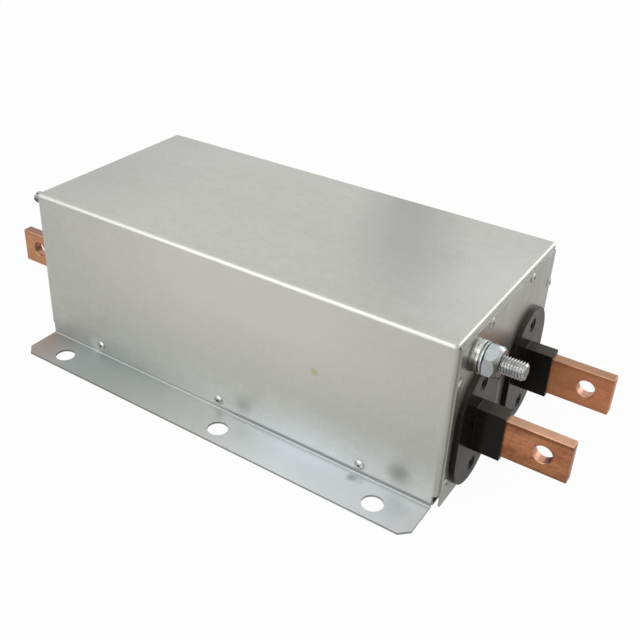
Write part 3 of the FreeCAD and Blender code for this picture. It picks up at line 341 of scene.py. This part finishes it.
            {"patch": (7, 7, 7), "detail": 3, "shows": (0.38, 0.62), "colour": "#96968A", "rough": 0.08},
            {"patch": (2.6, 2.6, 2.6), "detail": 3, "shows": (0.52, 0.70), "colour": "#6D6A5C", "amount": 0.4,
             "rough": 0.08, "relief": 0.003},
        ],
        "bands": [  # painted shade below the middle
            {"colour": "#4E4C40", "amount": 0.8, "ramps": [("z", 0.0970, 0.0935), ("z", 0.0850, 0.0875)]},
        ],
    },
    "aluminiumRivet": {  # cold-formed heads, silver with dull grey patches
        "colour": "#D2D2CE", "metallic": 1.0, "roughness": 0.22,
        "layers": [
            {"patch": (3, 3, 3), "detail": 3, "shows": (0.38, 0.66), "colour": "#9C9B95", "rough": 0.12,
             "relief": 0.006},
            {"patch": (1.2, 1.2, 1.2), "detail": 2, "shows": (0.55, 0.72), "colour": "#7F7D77",
             "amount": 0.5},
        ],
    },
    "blackOxideSteel": {  # blackened and oiled screws, almost no light back
        "colour": "#121110", "metallic": 1.0, "roughness": 0.42,
        "layers": [
            {"patch": (4, 4, 4), "detail": 3, "shows": (0.38, 0.66), "colour": "#0B0A0A", "rough": 0.10,
             "relief": 0.004},
        ],
    },
    "epoxyCoatedCore": {  # powder-coated ferrite: matt slate with an orange-peel skin
        "colour": "#3B3E42", "roughness": 0.46,
        "layers": [
            {"patch": (5, 5, 5), "detail": 3, "shows": (0.38, 0.66), "colour": "#2B2D31", "rough": 0.12},
            {"patch": (2, 2, 2), "detail": 2, "shows": (0.35, 0.65), "colour": "#45484C", "amount": 0.3,
             "relief": 0.03},
        ],
    },
    "glassLaminateBoard": {  # pressed glass cloth in red-brown resin: a faint weave under the skin
        "colour": "#9E5F4A", "roughness": 0.50,
        "layers": [
            {"patch": (20, 20, 20), "detail": 3, "shows": (0.38, 0.66), "colour": "#84493A", "rough": 0.08},
            {"patch": (0.7, 0.7, 6), "detail": 2, "shows": (0.35, 0.65), "colour": "#B07560", "amount": 0.4,
             "relief": 0.02},
            {"patch": (0.7, 6, 0.7), "detail": 2, "shows": (0.35, 0.65), "colour": "#75402F", "amount": 0.4,
             "relief": 0.02},
        ],
    },
    "siliconePad": {  # soft grey sheet, dusty
        "colour": "#5D6064", "roughness": 0.72,
        "layers": [
            {"patch": (6, 6, 6), "detail": 3, "shows": (0.38, 0.66), "colour": "#4A4D50", "rough": 0.10},
            {"patch": (1.1, 1.1, 1.1), "detail": 2, "shows": (0.35, 0.65), "colour": "#6B6E72", "amount": 0.3,
             "relief": 0.02},
        ],
    },
    "capacitorCase": {  # moulded polyester box, blue-grey, fine spark-eroded texture
        "colour": "#5A6472", "roughness": 0.38,
        "layers": [
            {"patch": (8, 8, 8), "detail": 3, "shows": (0.38, 0.66), "colour": "#4C5563", "rough": 0.08},
            {"patch": (0.9, 0.9, 0.9), "detail": 2, "shows": (0.35, 0.65), "colour": "#667181", "amount": 0.3,
             "relief": 0.012},
        ],
    },
    "resistorCement": {  # green-grey flameproof lacquer over a wound body
        "colour": "#6D7B68", "roughness": 0.34,
        "layers": [
            {"patch": (3, 3, 3), "detail": 3, "shows": (0.38, 0.66), "colour": "#56624F", "rough": 0.12},
            {"patch": (1.0, 1.0, 1.0), "detail": 2, "shows": (0.35, 0.65), "colour": "#7D8B77", "amount": 0.3,
             "relief": 0.02},
        ],
    },
}
noise = {"apart": (3.7, 1.9, 5.3), "roughness": 0.58}  # how far each layer lies from the one before
slantShare = 0.43  # of y, added to x
plainSpot = {"flat": (1, 1, 1), "full": 0.4, "amount": 1.0}  # what a spot is where it says nothing else


def makeFinish(name, f):
    material = bpy.data.materials.new(name)
    material.use_nodes = True
    tree = material.node_tree
    tree.nodes.clear()
    shader = addNode(tree, "ShaderNodeBsdfPrincipled", {"Metallic": f.get("metallic", 0.0)})
    if "ior" in f:
        shader.inputs["IOR"].default_value = f["ior"]
    addNode(tree, "ShaderNodeOutputMaterial", {"Surface": shader})
    coords = addNode(tree, "ShaderNodeTexCoord").outputs
    place = coords["Object"]
    colour, rough, relief = linear(f["colour"]), f["roughness"], 0.0
    for number, layer in enumerate(f["layers"]):
        perMetre = [1 / (length * mm) for length in layer["patch"]]
        mapped = addNode(tree, "ShaderNodeMapping", {
            "Vector": place, "Location": [number * step for step in noise["apart"]], "Scale": perMetre})
        pattern = addNode(tree, "ShaderNodeTexNoise", {
            "Vector": mapped, "Scale": 1.0, "Detail": layer["detail"], "Roughness": noise["roughness"]})
        low, high = layer["shows"]
        share = addNode(tree, "ShaderNodeMapRange", {"Value": pattern, "From Min": low, "From Max": high})
        tint = addNode(tree, "ShaderNodeMath", {0: share, 1: layer.get("amount", 1.0)}, operation="MULTIPLY")
        colour = addNode(tree, "ShaderNodeMix", {0: tint, 6: colour, 7: linear(layer["colour"])},
                         data_type="RGBA").outputs[2]
        if "rough" in layer:
            rough = addNode(tree, "ShaderNodeMath", {0: share, 1: layer["rough"], 2: rough},
                            operation="MULTIPLY_ADD")
        if "relief" in layer:
            relief = addNode(tree, "ShaderNodeMath", {0: share, 1: layer["relief"], 2: relief},
                             operation="MULTIPLY_ADD")
    x, y, z = addNode(tree, "ShaderNodeSeparateXYZ", {0: place}).outputs
    slant = addNode(tree, "ShaderNodeMath", {0: y, 1: slantShare, 2: x}, operation="MULTIPLY_ADD")
    facingX, _, facingZ = addNode(tree, "ShaderNodeSeparateXYZ", {0: coords["Normal"]}).outputs
    along = {"x": x, "y": y, "z": z, "slant": slant, "facingX": facingX, "facingZ": facingZ}
    for band in f.get("bands", []):
        share = band["amount"]
        for axis, none, full in band["ramps"]:
            ramp = addNode(tree, "ShaderNodeMapRange", {
                "Value": along[axis], "From Min": none, "From Max": full})
            share = addNode(tree, "ShaderNodeMath", {0: ramp, 1: share}, operation="MULTIPLY")
        colour = addNode(tree, "ShaderNodeMix", {0: share, 6: colour, 7: linear(band["colour"])},
                         data_type="RGBA").outputs[2]
    for values in f.get("spots", []):
        spot = {**plainSpot, **values}
        squeezed = addNode(tree, "ShaderNodeVectorMath", {0: place, 1: spot["flat"]}, operation="MULTIPLY")
        away = addNode(tree, "ShaderNodeVectorMath", {0: squeezed, 1: spot["at"]}, operation="DISTANCE")
        near = addNode(tree, "ShaderNodeMapRange", {
            "Value": away.outputs["Value"], "From Min": spot["radius"] * spot["full"],
            "From Max": spot["radius"], "To Min": spot["amount"], "To Max": 0.0})
        colour = addNode(tree, "ShaderNodeMix", {0: near, 6: colour, 7: linear(spot["colour"])},
                         data_type="RGBA").outputs[2]
    bump = addNode(tree, "ShaderNodeBump", {"Height": relief, "Strength": 1.0, "Distance": mm})
    for socket, value in (("Base Color", colour), ("Roughness", rough.outputs[0]),
                          ("Normal", bump.outputs[0])):
        tree.links.new(value, shader.inputs[socket])
    return material


materials = {name: makeFinish(name, values) for name, values in finishes.items()}
print("materials made")


def wear(name, *pieces):
    for piece in pieces:
        mesh = nodes[piece].data
        mesh.materials.clear()
        mesh.materials.append(materials[name])


wear("zincCoatedSheetCover", "housing_cover")
wear("zincCoatedSheetEnds", "load_end_plate", "line_end_plate")
wear("zincCoatedSheetBase", "base_plate")
wear("drawnCopperBar", "front_busbar", "rear_busbar")
wear("glossBlackMoulding", *[n for n in nodes if n.endswith("_insulator")])
wear("brightZincPlate", "insulator_nuts", "tie_rods", "tie_rod_nuts", "tab_screws", "line_flat_washers",
     *[n for n in nodes if "_ground_" in n and not n.endswith("_tab")])
wear("aluminiumRivet", "blind_rivets")
wear("blackOxideSteel", "insulator_screws")
wear("epoxyCoatedCore", *[n for n in nodes if n.startswith("choke_core")])
wear("glassLaminateBoard", "load_barrier", "line_barrier")
wear("siliconePad", "core_pad")
wear("capacitorCase", *[n for n in nodes if n.endswith("_capacitor")])
wear("copperStrip", *[n for n in nodes if n.endswith("_tab")])
wear("resistorCement", "discharge_resistor")
print("CAD nodes dressed")


foldAngle = 32  # degrees from which an edge is drawn sharp


def onCircle(bm, radius, turn, height):
    return bm.verts.new((radius * math.cos(turn) * mm, radius * math.sin(turn) * mm, height * mm))


def finishMesh(name, bm):
    mesh = bpy.data.meshes.new(name)
    bm.to_mesh(mesh)
    bm.free()
    mesh.shade_smooth()
    mesh.set_sharp_from_angle(angle=math.radians(foldAngle))
    return mesh


# A turned piece is a stack of closed rows from its low end to its high end. A row is a height
# and a radius in millimetres, None for a pole, or a function of the turn that gives either
# the radius or the radius and the height.
def turnedMesh(name, rows, sides=48):
    bm = bmesh.new()
    rings = []
    for height, radius in rows:
        if radius is None:
            rings.append([bm.verts.new((0, 0, height * mm))])
            continue
        ring = []
        for i in range(sides):
            turn = 2 * math.pi * i / sides
            value = radius(turn) if callable(radius) else radius
            r, z = value if isinstance(value, tuple) else (value, height)
            ring.append(onCircle(bm, r, turn, z))
        rings.append(ring)
    for low, high in zip(rings, rings[1:]):
        for i in range(sides):
            j = (i + 1) % sides
            if len(low) == 1:
                bm.faces.new((low[0], high[j], high[i]))
            elif len(high) == 1:
                bm.faces.new((low[i], low[j], high[0]))
            else:
                bm.faces.new((low[i], low[j], high[j], high[i]))
    if len(rings[0]) > 1:  # a piece with a bore closes on itself
        for i in range(sides):
            j = (i + 1) % sides
            bm.faces.new((rings[-1][i], rings[-1][j], rings[0][j], rings[0][i]))
    return finishMesh(name, bm)


def hexagon(acrossFlats):
    return lambda turn: acrossFlats / 2 / math.cos((turn + math.pi / 6) % (math.pi / 3) - math.pi / 6)


# The row where the flats meet the cone that starts at the rim.
def hexagonBevel(acrossFlats, rim, top, up=1, slope=30):
    side = hexagon(acrossFlats)
    fall = math.tan(math.radians(slope))
    return lambda turn: (side(turn), top - up * max(0.0, side(turn) - rim) * fall)


def startTree(name, inputs, result):
    tree = bpy.data.node_groups.new(name, "GeometryNodeTree")
    sockets = {}
    for label, kind in inputs.items():
        socket = tree.interface.new_socket(label, in_out="INPUT", socket_type="NodeSocket" + kind)
        sockets[label] = socket.identifier
    tree.interface.new_socket(result, in_out="OUTPUT", socket_type="NodeSocketGeometry")
    return tree, sockets, addNode(tree, "NodeGroupInput").outputs


def endTree(tree, shape, finish):
    real = addNode(tree, "GeometryNodeRealizeInstances", {"Geometry": shape}).outputs[0]
    dressed = addNode(tree, "GeometryNodeSetMaterial", {"Geometry": real, "Material": finish}).outputs[0]
    addNode(tree, "NodeGroupOutput", {0: dressed})


def copyTree(name):
    tree, sockets, given = startTree(name, {
        "Places": "Geometry", "Piece": "Object", "Turn": "Float", "Random Turn": "Float", "Seed": "Int",
        "Finish": "Material"}, "Pieces")
    facing = addNode(tree, "GeometryNodeInputNamedAttribute", {"Name": "facing"},
                     data_type="FLOAT_VECTOR").outputs[0]
    aligned = addNode(tree, "FunctionNodeAlignRotationToVector", {"Vector": facing}, axis="Z").outputs[0]
    chance = addNode(tree, "FunctionNodeRandomValue", {"Seed": given["Seed"]}, data_type="FLOAT").outputs[1]
    angle = addNode(tree, "ShaderNodeMath", {0: chance, 1: given["Random Turn"], 2: given["Turn"]},
                    operation="MULTIPLY_ADD")
    spin = addNode(tree, "FunctionNodeAxisAngleToRotation", {"Axis": (0, 0, 1), "Angle": angle}).outputs[0]
    turned = addNode(tree, "FunctionNodeRotateRotation", {0: aligned, 1: spin},
                     rotation_space="LOCAL").outputs[0]
    piece = addNode(tree, "GeometryNodeObjectInfo", {"Object": given["Piece"]}).outputs["Geometry"]
    placed = addNode(tree, "GeometryNodeInstanceOnPoints", {
        "Points": given["Places"], "Instance": piece, "Rotation": turned}).outputs[0]
    endTree(tree, placed, given["Finish"])
    return tree, sockets


placeCopies, copySockets = copyTree("placeCopies")
towards = {"load": (1, 0, 0), "line": (-1, 0, 0), "front": (0, -1, 0), "rear": (0, 1, 0)}
ends = {"load": 1, "line": -1}  # the side of x on which the end lies


# What the tree makes of the carrier becomes a plain mesh.
def shapedMesh(carrier, tree, sockets, values):
    modifier = carrier.modifiers.new(tree.name, "NODES")
    modifier.node_group = tree
    for label, value in values.items():
        modifier[sockets[label]] = value
    graph = bpy.context.evaluated_depsgraph_get()
    mesh = bpy.data.meshes.new_from_object(carrier.evaluated_get(graph), depsgraph=graph)
    bpy.data.objects.remove(carrier)
    return mesh


def setPieces(name, mesh, places, finish, replaced, turn=0.0, randomTurn=0.0, seed=4):
    master = addObject(name + "Master", mesh)
    spots = bpy.data.meshes.new(name + "Spots")
    spots.from_pydata([[v * mm for v in place[:3]] for place in places], [], [])
    facing = spots.attributes.new("facing", "FLOAT_VECTOR", "POINT")
    for i, place in enumerate(places):
        facing.data[i].vector = towards[place[3]]
    result = shapedMesh(addObject(name + "Carrier", spots), placeCopies, copySockets, {
        "Piece": master, "Turn": turn, "Random Turn": randomTurn, "Seed": seed, "Finish": finish})
    result.name = name
    bpy.data.objects.remove(master)
    piece = addObject(name, result)
    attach(piece, "root")
    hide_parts(*replaced)


anyTurn = 6.28  # radians, once round
rivet = {  # millimetres; heights are measured from the sheet under the head
    "shank": 3.2, "grip": 3.0, "tail": 4.6, "tailCone": 1, "reach": 6.0,
    "head": 6.4, "chamfer": 0.1, "edge": 0.25, "dome": 1.1, "domeSteps": 7, "sides": 36,
    "bore": 1.9, "boreDepth": 2.2, "rolledRim": 0.25, "lip": 0.2, "lipDrop": 0.08,
    "stubSlack": 0.9, "stubFlat": 0.5, "stubRise": 0.15,  # what is left of the mandrel, deep in the bore
    # six on each end plate by y and z, three low on each wall by x
    "endPlaces": [(y * side, z) for side in (-1, 1) for y, z in ((30, 102.4), (64.4, 83.5), (64.4, 16))],
    "lowPlaces": (-102.5, 0, 102.5), "lowHeight": 7.7,
    "plateFace": 152.2, "wallFace": 71,
}


def makeRivets(r):
    half, bore, shank, tail = r["head"] / 2, r["bore"] / 2, r["shank"] / 2, r["tail"] / 2
    rows = [(-r["reach"], None), (-r["reach"], shank), (-r["reach"] + r["tailCone"], tail),
            (-r["grip"], tail), (-r["grip"], shank), (0, shank), (0, half - r["chamfer"]),
            (r["chamfer"], half), (r["edge"], half)]
    for step in range(1, r["domeSteps"]):
        share = step / r["domeSteps"]
        radius = half + (bore + r["rolledRim"] - half) * share
        rows.append((r["edge"] + (r["dome"] - r["edge"]) * math.sin(share * math.pi / 2), radius))
    stub = r["dome"] - r["boreDepth"]
    rows += [(r["dome"], bore + r["lip"]), (r["dome"] - r["lipDrop"], bore), (stub, bore),
             (stub, bore * r["stubSlack"]), (stub + r["stubRise"], bore * r["stubFlat"]),
             (stub + r["stubRise"], None)]
    mesh = turnedMesh("rivet", rows, r["sides"])
    places = [(r["plateFace"] * sign, y, z, end) for end, sign in ends.items() for y, z in r["endPlaces"]]
    places += [(x, r["wallFace"] * sign, r["lowHeight"], side)
               for side, sign in (("front", -1), ("rear", 1)) for x in r["lowPlaces"]]
    setPieces("blind_rivet_set", mesh, places, materials["aluminiumRivet"], ["blind_rivets"],
              randomTurn=anyTurn)


makeRivets(rivet)
print("rivets set")

insulatorScrew = {  # millimetres; heights are measured from the insulator's face
    "length": 14, "point": 0.5, "thread": 5.0, "cone": 2.4,
    "head": 9.4, "slack": 0.05, "rim": 0.25, "edge": 0.14, "edgeDrop": 0.06, "recess": 0.55,
    "socket": 3.0, "socketDepth": 1.6, "mouth": 0.55, "mouthDepth": 0.25, "drillPoint": 0.3,
    "face": 155.5, "side": 36, "middle": 40, "rise": 28,
}


def makeScrews(c):
    head, shank, top = c["head"] / 2, c["thread"] / 2, -c["recess"]
    socket, floor = hexagon(c["socket"]), top - c["socketDepth"]
    rows = [(-c["length"], None), (-c["length"], shank - c["point"]), (-c["length"] + c["point"], shank),
            (-c["cone"], shank), (-c["rim"], head - c["slack"]), (top - c["edgeDrop"], head - c["slack"]),
            (top, head - c["edge"]), (top, c["socket"] / 2 + c["mouth"]), (top - c["mouthDepth"], socket),
            (floor, socket), (floor - c["drillPoint"], None)]
    mesh = turnedMesh("countersunkScrew", rows)
    places = [(c["face"] * sign, c["side"] * pole, c["middle"] + c["rise"] * step, end)
              for end, sign in ends.items() for pole in (-1, 1) for step in (-1, 1)]
    setPieces("insulator_screw_set", mesh, places, materials["blackOxideSteel"],
              ["insulator_screws"], randomTurn=anyTurn, seed=9)


makeScrews(insulatorScrew)
print("insulator screws set")


threadRidge = {"crest": 0.12, "root": 0.80}  # shares of half a pitch, for flat crests


def threadTree(name):
    tree, sockets, given = startTree(name, {
        "Blank": "Geometry", "Outer Radius": "Float", "Pitch": "Float", "Depth": "Float", "Start": "Float",
        "Run In": "Float", "Finish": "Material"}, "Thread")
    place = addNode(tree, "GeometryNodeInputPosition").outputs[0]
    x, y, z = addNode(tree, "ShaderNodeSeparateXYZ", {0: place}).outputs[:3]
    flat = addNode(tree, "ShaderNodeCombineXYZ", {0: x, 1: y}).outputs[0]
    radius = addNode(tree, "ShaderNodeVectorMath", {0: flat}, operation="LENGTH").outputs["Value"]
    angle = addNode(tree, "ShaderNodeMath", {0: y, 1: x}, operation="ARCTAN2")
    turns = addNode(tree, "ShaderNodeMath", {0: angle, 1: 2 * math.pi}, operation="DIVIDE")
    climb = addNode(tree, "ShaderNodeMath", {0: z, 1: given["Pitch"]}, operation="DIVIDE")
    wound = addNode(tree, "ShaderNodeMath", {0: climb, 1: turns}, operation="SUBTRACT")
    phase = addNode(tree, "ShaderNodeMath", {0: wound}, operation="FRACT")
    centred = addNode(tree, "ShaderNodeMath", {0: phase, 1: 2.0, 2: -1.0}, operation="MULTIPLY_ADD")
    ridge = addNode(tree, "ShaderNodeMath", {0: centred}, operation="ABSOLUTE")
    groove = addNode(tree, "ShaderNodeMapRange", {
        "Value": ridge, "From Min": threadRidge["crest"], "From Max": threadRidge["root"]})
    run = addNode(tree, "ShaderNodeMath", {0: z, 1: given["Start"]}, operation="SUBTRACT")
    past = addNode(tree, "ShaderNodeMath", {0: run, 1: given["Run In"]}, operation="DIVIDE")
    fade = addNode(tree, "ShaderNodeClamp", {0: past})
    share = addNode(tree, "ShaderNodeMath", {0: groove, 1: fade}, operation="MULTIPLY")
    deep = addNode(tree, "ShaderNodeMath", {0: share, 1: given["Depth"]}, operation="MULTIPLY")
    cutTo = addNode(tree, "ShaderNodeMath", {0: given["Outer Radius"], 1: deep}, operation="SUBTRACT")
    inThread = addNode(tree, "ShaderNodeMath", {0: z, 1: given["Start"]}, operation="GREATER_THAN")
    limit = addNode(tree, "GeometryNodeSwitch", {"Switch": inThread, "False": radius, "True": cutTo},
                    input_type="FLOAT")
    newRadius = addNode(tree, "ShaderNodeMath", {0: radius, 1: limit}, operation="MINIMUM")
    outwards = addNode(tree, "ShaderNodeVectorMath", {0: flat}, operation="NORMALIZE").outputs[0]
    rim = addNode(tree, "ShaderNodeVectorMath", {0: outwards, "Scale": newRadius},
                  operation="SCALE").outputs[0]
    height = addNode(tree, "ShaderNodeCombineXYZ", {2: z}).outputs[0]
    moved = addNode(tree, "ShaderNodeVectorMath", {0: rim, 1: height}, operation="ADD").outputs[0]
    shaped = addNode(tree, "GeometryNodeSetPosition", {
        "Geometry": given["Blank"], "Position": moved}).outputs[0]
    endTree(tree, shaped, given["Finish"])
    return tree, sockets


cutThread, threadSockets = threadTree("cutThread")


flatFace = 0.475  # the radius of a hexagon's flat face, as a share of what it measures across flats
groundStuds = {  # millimetres; heights are measured from the bearing face of the head
    "load": {"thread": 10.0, "pitch": 1.5, "depth": 0.92, "point": 1.2, "head": 16, "headHeight": 6.4,
             "seat": 149.5, "tip": 180.8, "height": 93.4},
    "line": {"thread": 8.0, "pitch": 1.25, "depth": 0.77, "point": 1.0, "head": 13, "headHeight": 5.3,
             "seat": 149.5, "tip": 177.0, "height": 92.0},
    "side": -49.5, "slack": 0.02, "neck": 0.3, "start": 3.2, "lead": 0.2, "rowsPerTurn": 12,
    "pointSteps": (0.25, 0.5, 0.75, 1.0), "dome": 0.5, "foldAngle": 50,
}


# The end is pointed at 45 degrees and slightly domed.
def makeGroundStud(end, s, shared):
    outer, length = s["thread"] / 2 - shared["slack"], s["tip"] - s["seat"]
    rim, neck = s["head"] * flatFace, shared["neck"]
    start, dome = shared["start"], shared["dome"]
    shoulder = length - dome - s["point"]
    rows = [(-s["headHeight"], None), (-s["headHeight"], rim),
            (0, hexagonBevel(s["head"], rim, -s["headHeight"], up=-1)),
            (0, hexagon(s["head"])), (0, outer + neck), (neck, outer), (start - shared["lead"], outer)]
    count = round((shoulder - start) / (s["pitch"] / shared["rowsPerTurn"]))
    rows += [(start + (shoulder - start) * i / count, outer) for i in range(count + 1)]
    rows += [(shoulder + s["point"] * share, outer - s["point"] * share) for share in shared["pointSteps"]]
    rows += [(length - dome / 4, (outer - s["point"]) / 2), (length, None)]
    mesh = turnedMesh(end + "Blank", rows)
    threaded = shapedMesh(addObject(end + "Blank", mesh), cutThread, threadSockets, {
        "Outer Radius": outer * mm, "Pitch": s["pitch"] * mm, "Depth": s["depth"] * mm,
        "Start": start * mm, "Run In": s["pitch"] * mm, "Finish": materials["rolledZincThread"]})
    threaded.set_sharp_from_angle(angle=math.radians(shared["foldAngle"]))
    setPieces(end + "_stud_threaded", threaded, [(s["seat"] * ends[end], shared["side"], s["height"], end)],
              materials["rolledZincThread"], [end + "_ground_stud"], turn=math.pi / 6)


for end in ends:
    makeGroundStud(end, groundStuds[end], groundStuds)
print("ground studs threaded")


groundNuts = {  # height, across flats, outer face inside the bevel, slope of the bevel, bore, seats, replaced
    "load": (8.4, 17.0, 15.2, 55, 9.2, (158.8,), "load_ground_nut"),
    "line": (6.5, 13.0, 11.6, 55, 7.4, (152.2, 162.3), "line_ground_nuts"),
}
nutShape = {"innerSink": 0.5, "outerSink": 0.6, "sides": 96}
groundRings = {  # end, outer diameter, bore, thickness, rounding, seats, replaced node
    "load_collar_round": ("load", 18.7, 10.4, 4.9, 0.35, (152.2,), "load_ground_collar"),
    "line_washer_flat": ("line", 16.0, 8.4, 1.6, 0.15, (158.7,), "line_flat_washers"),
}
ringSides = 72
# the collar is two discs pressed together; this is the groove, as a share of the thickness and a depth
collarGroove = ((0.44, 0), (0.46, 0.5), (0.54, 0.5), (0.56, 0.25))
springRings = {  # end, outer diameter, bore, thickness, rounding, undercut, seat, replaced node
    "load_spring_split": ("load", 17.8, 10.4, 1.7, 0.30, 0.6, 157.1, "load_ground_spring_washer"),
    "line_spring_split": ("line", 14.8, 8.4, 2.0, 0.25, 0.0, 160.3, "line_ground_spring_washer"),
}
split = {"gap": 1.0, "slant": 0.9, "undercutWidth": 1.2, "steps": 64, "turn": 2.4}


def onStud(end, seats):
    return [(seat * ends[end], groundStuds["side"], groundStuds[end]["height"], end) for seat in seats]


def makeNut(end, height, across, rim, slope, bore, seats, replaced):
    rim, bore = rim / 2, bore / 2
    low = min(rim, across * flatFace)
    inner, outer = nutShape["innerSink"], nutShape["outerSink"]
    rows = [(0, bore + inner), (0, low), (0, hexagonBevel(across, low, 0, up=-1)),
            (0, hexagonBevel(across, rim, height, slope=slope)), (height, rim), (height, bore + outer),
            (height - outer, bore), (inner, bore)]
    mesh = turnedMesh(end + "Nut", rows, nutShape["sides"])
    setPieces(end + "_nut_bevelled", mesh, onStud(end, seats), materials["bevelledZincNut"],
              [replaced], turn=math.pi / 6)


def ringRows(outer, bore, thick, edge):
    outer, bore = outer / 2, bore / 2
    bends = [(math.sin(a), 1 - math.cos(a)) for a in (0, math.pi / 6, math.pi / 3, math.pi / 2)]
    rows = [(0, bore)] + [(edge * up, outer - edge + edge * out) for out, up in bends]
    rows += [(thick - edge * up, outer - edge + edge * out) for out, up in reversed(bends)]
    return rows + [(thick, bore)]


for end, values in groundNuts.items():
    makeNut(end, *values)
for name, (end, outer, bore, thick, edge, seats, replaced) in groundRings.items():
    rows = ringRows(outer, bore, thick, edge)
    if end == "load":
        rows[5:5] = [(thick * at, outer / 2 - deep) for at, deep in collarGroove]
    mesh = turnedMesh(name, rows, ringSides)
    setPieces(name, mesh, onStud(end, seats), materials["dullZincWasher"], [replaced])


def splitRing(name, outer, bore, thick, edge, undercut, s):
    profile = [(r, z) for z, r in ringRows(outer, bore, thick, edge)]
    if undercut:  # the ring stands off its seat, which leaves a dark line
        inset = outer / 2 - s["undercutWidth"]
        profile[1:1] = [(inset, 0), (inset, undercut)]
        profile[3:7] = [(r, z + undercut) for r, z in profile[3:7]]
    bm = bmesh.new()
    rings = []
    for i in range(s["steps"] + 1):
        ring = []
        for r, z in profile:
            lean = s["slant"] * (z / thick * 2 - 1) / r  # the split slants through the thickness
            start = s["gap"] / 2 / r + lean
            turn = start + (2 * math.pi - s["gap"] / r) * i / s["steps"]
            ring.append(onCircle(bm, r, turn, z))
        rings.append(ring)
    for one, two in zip(rings, rings[1:]):
        for j in range(len(profile)):
            k = (j + 1) % len(profile)
            bm.faces.new((one[j], two[j], two[k], one[k]))
    bm.faces.new(rings[0])
    bm.faces.new(reversed(rings[-1]))
    bmesh.ops.recalc_face_normals(bm, faces=bm.faces)
    return finishMesh(name, bm)


for name, (end, outer, bore, thick, edge, undercut, seat, replaced) in springRings.items():
    mesh = splitRing(name, outer, bore, thick, edge, undercut, split)
    setPieces(name, mesh, onStud(end, (seat,)), materials["brightZincPlate"], [replaced],
              turn=split["turn"])
print("ground nuts and washers set")
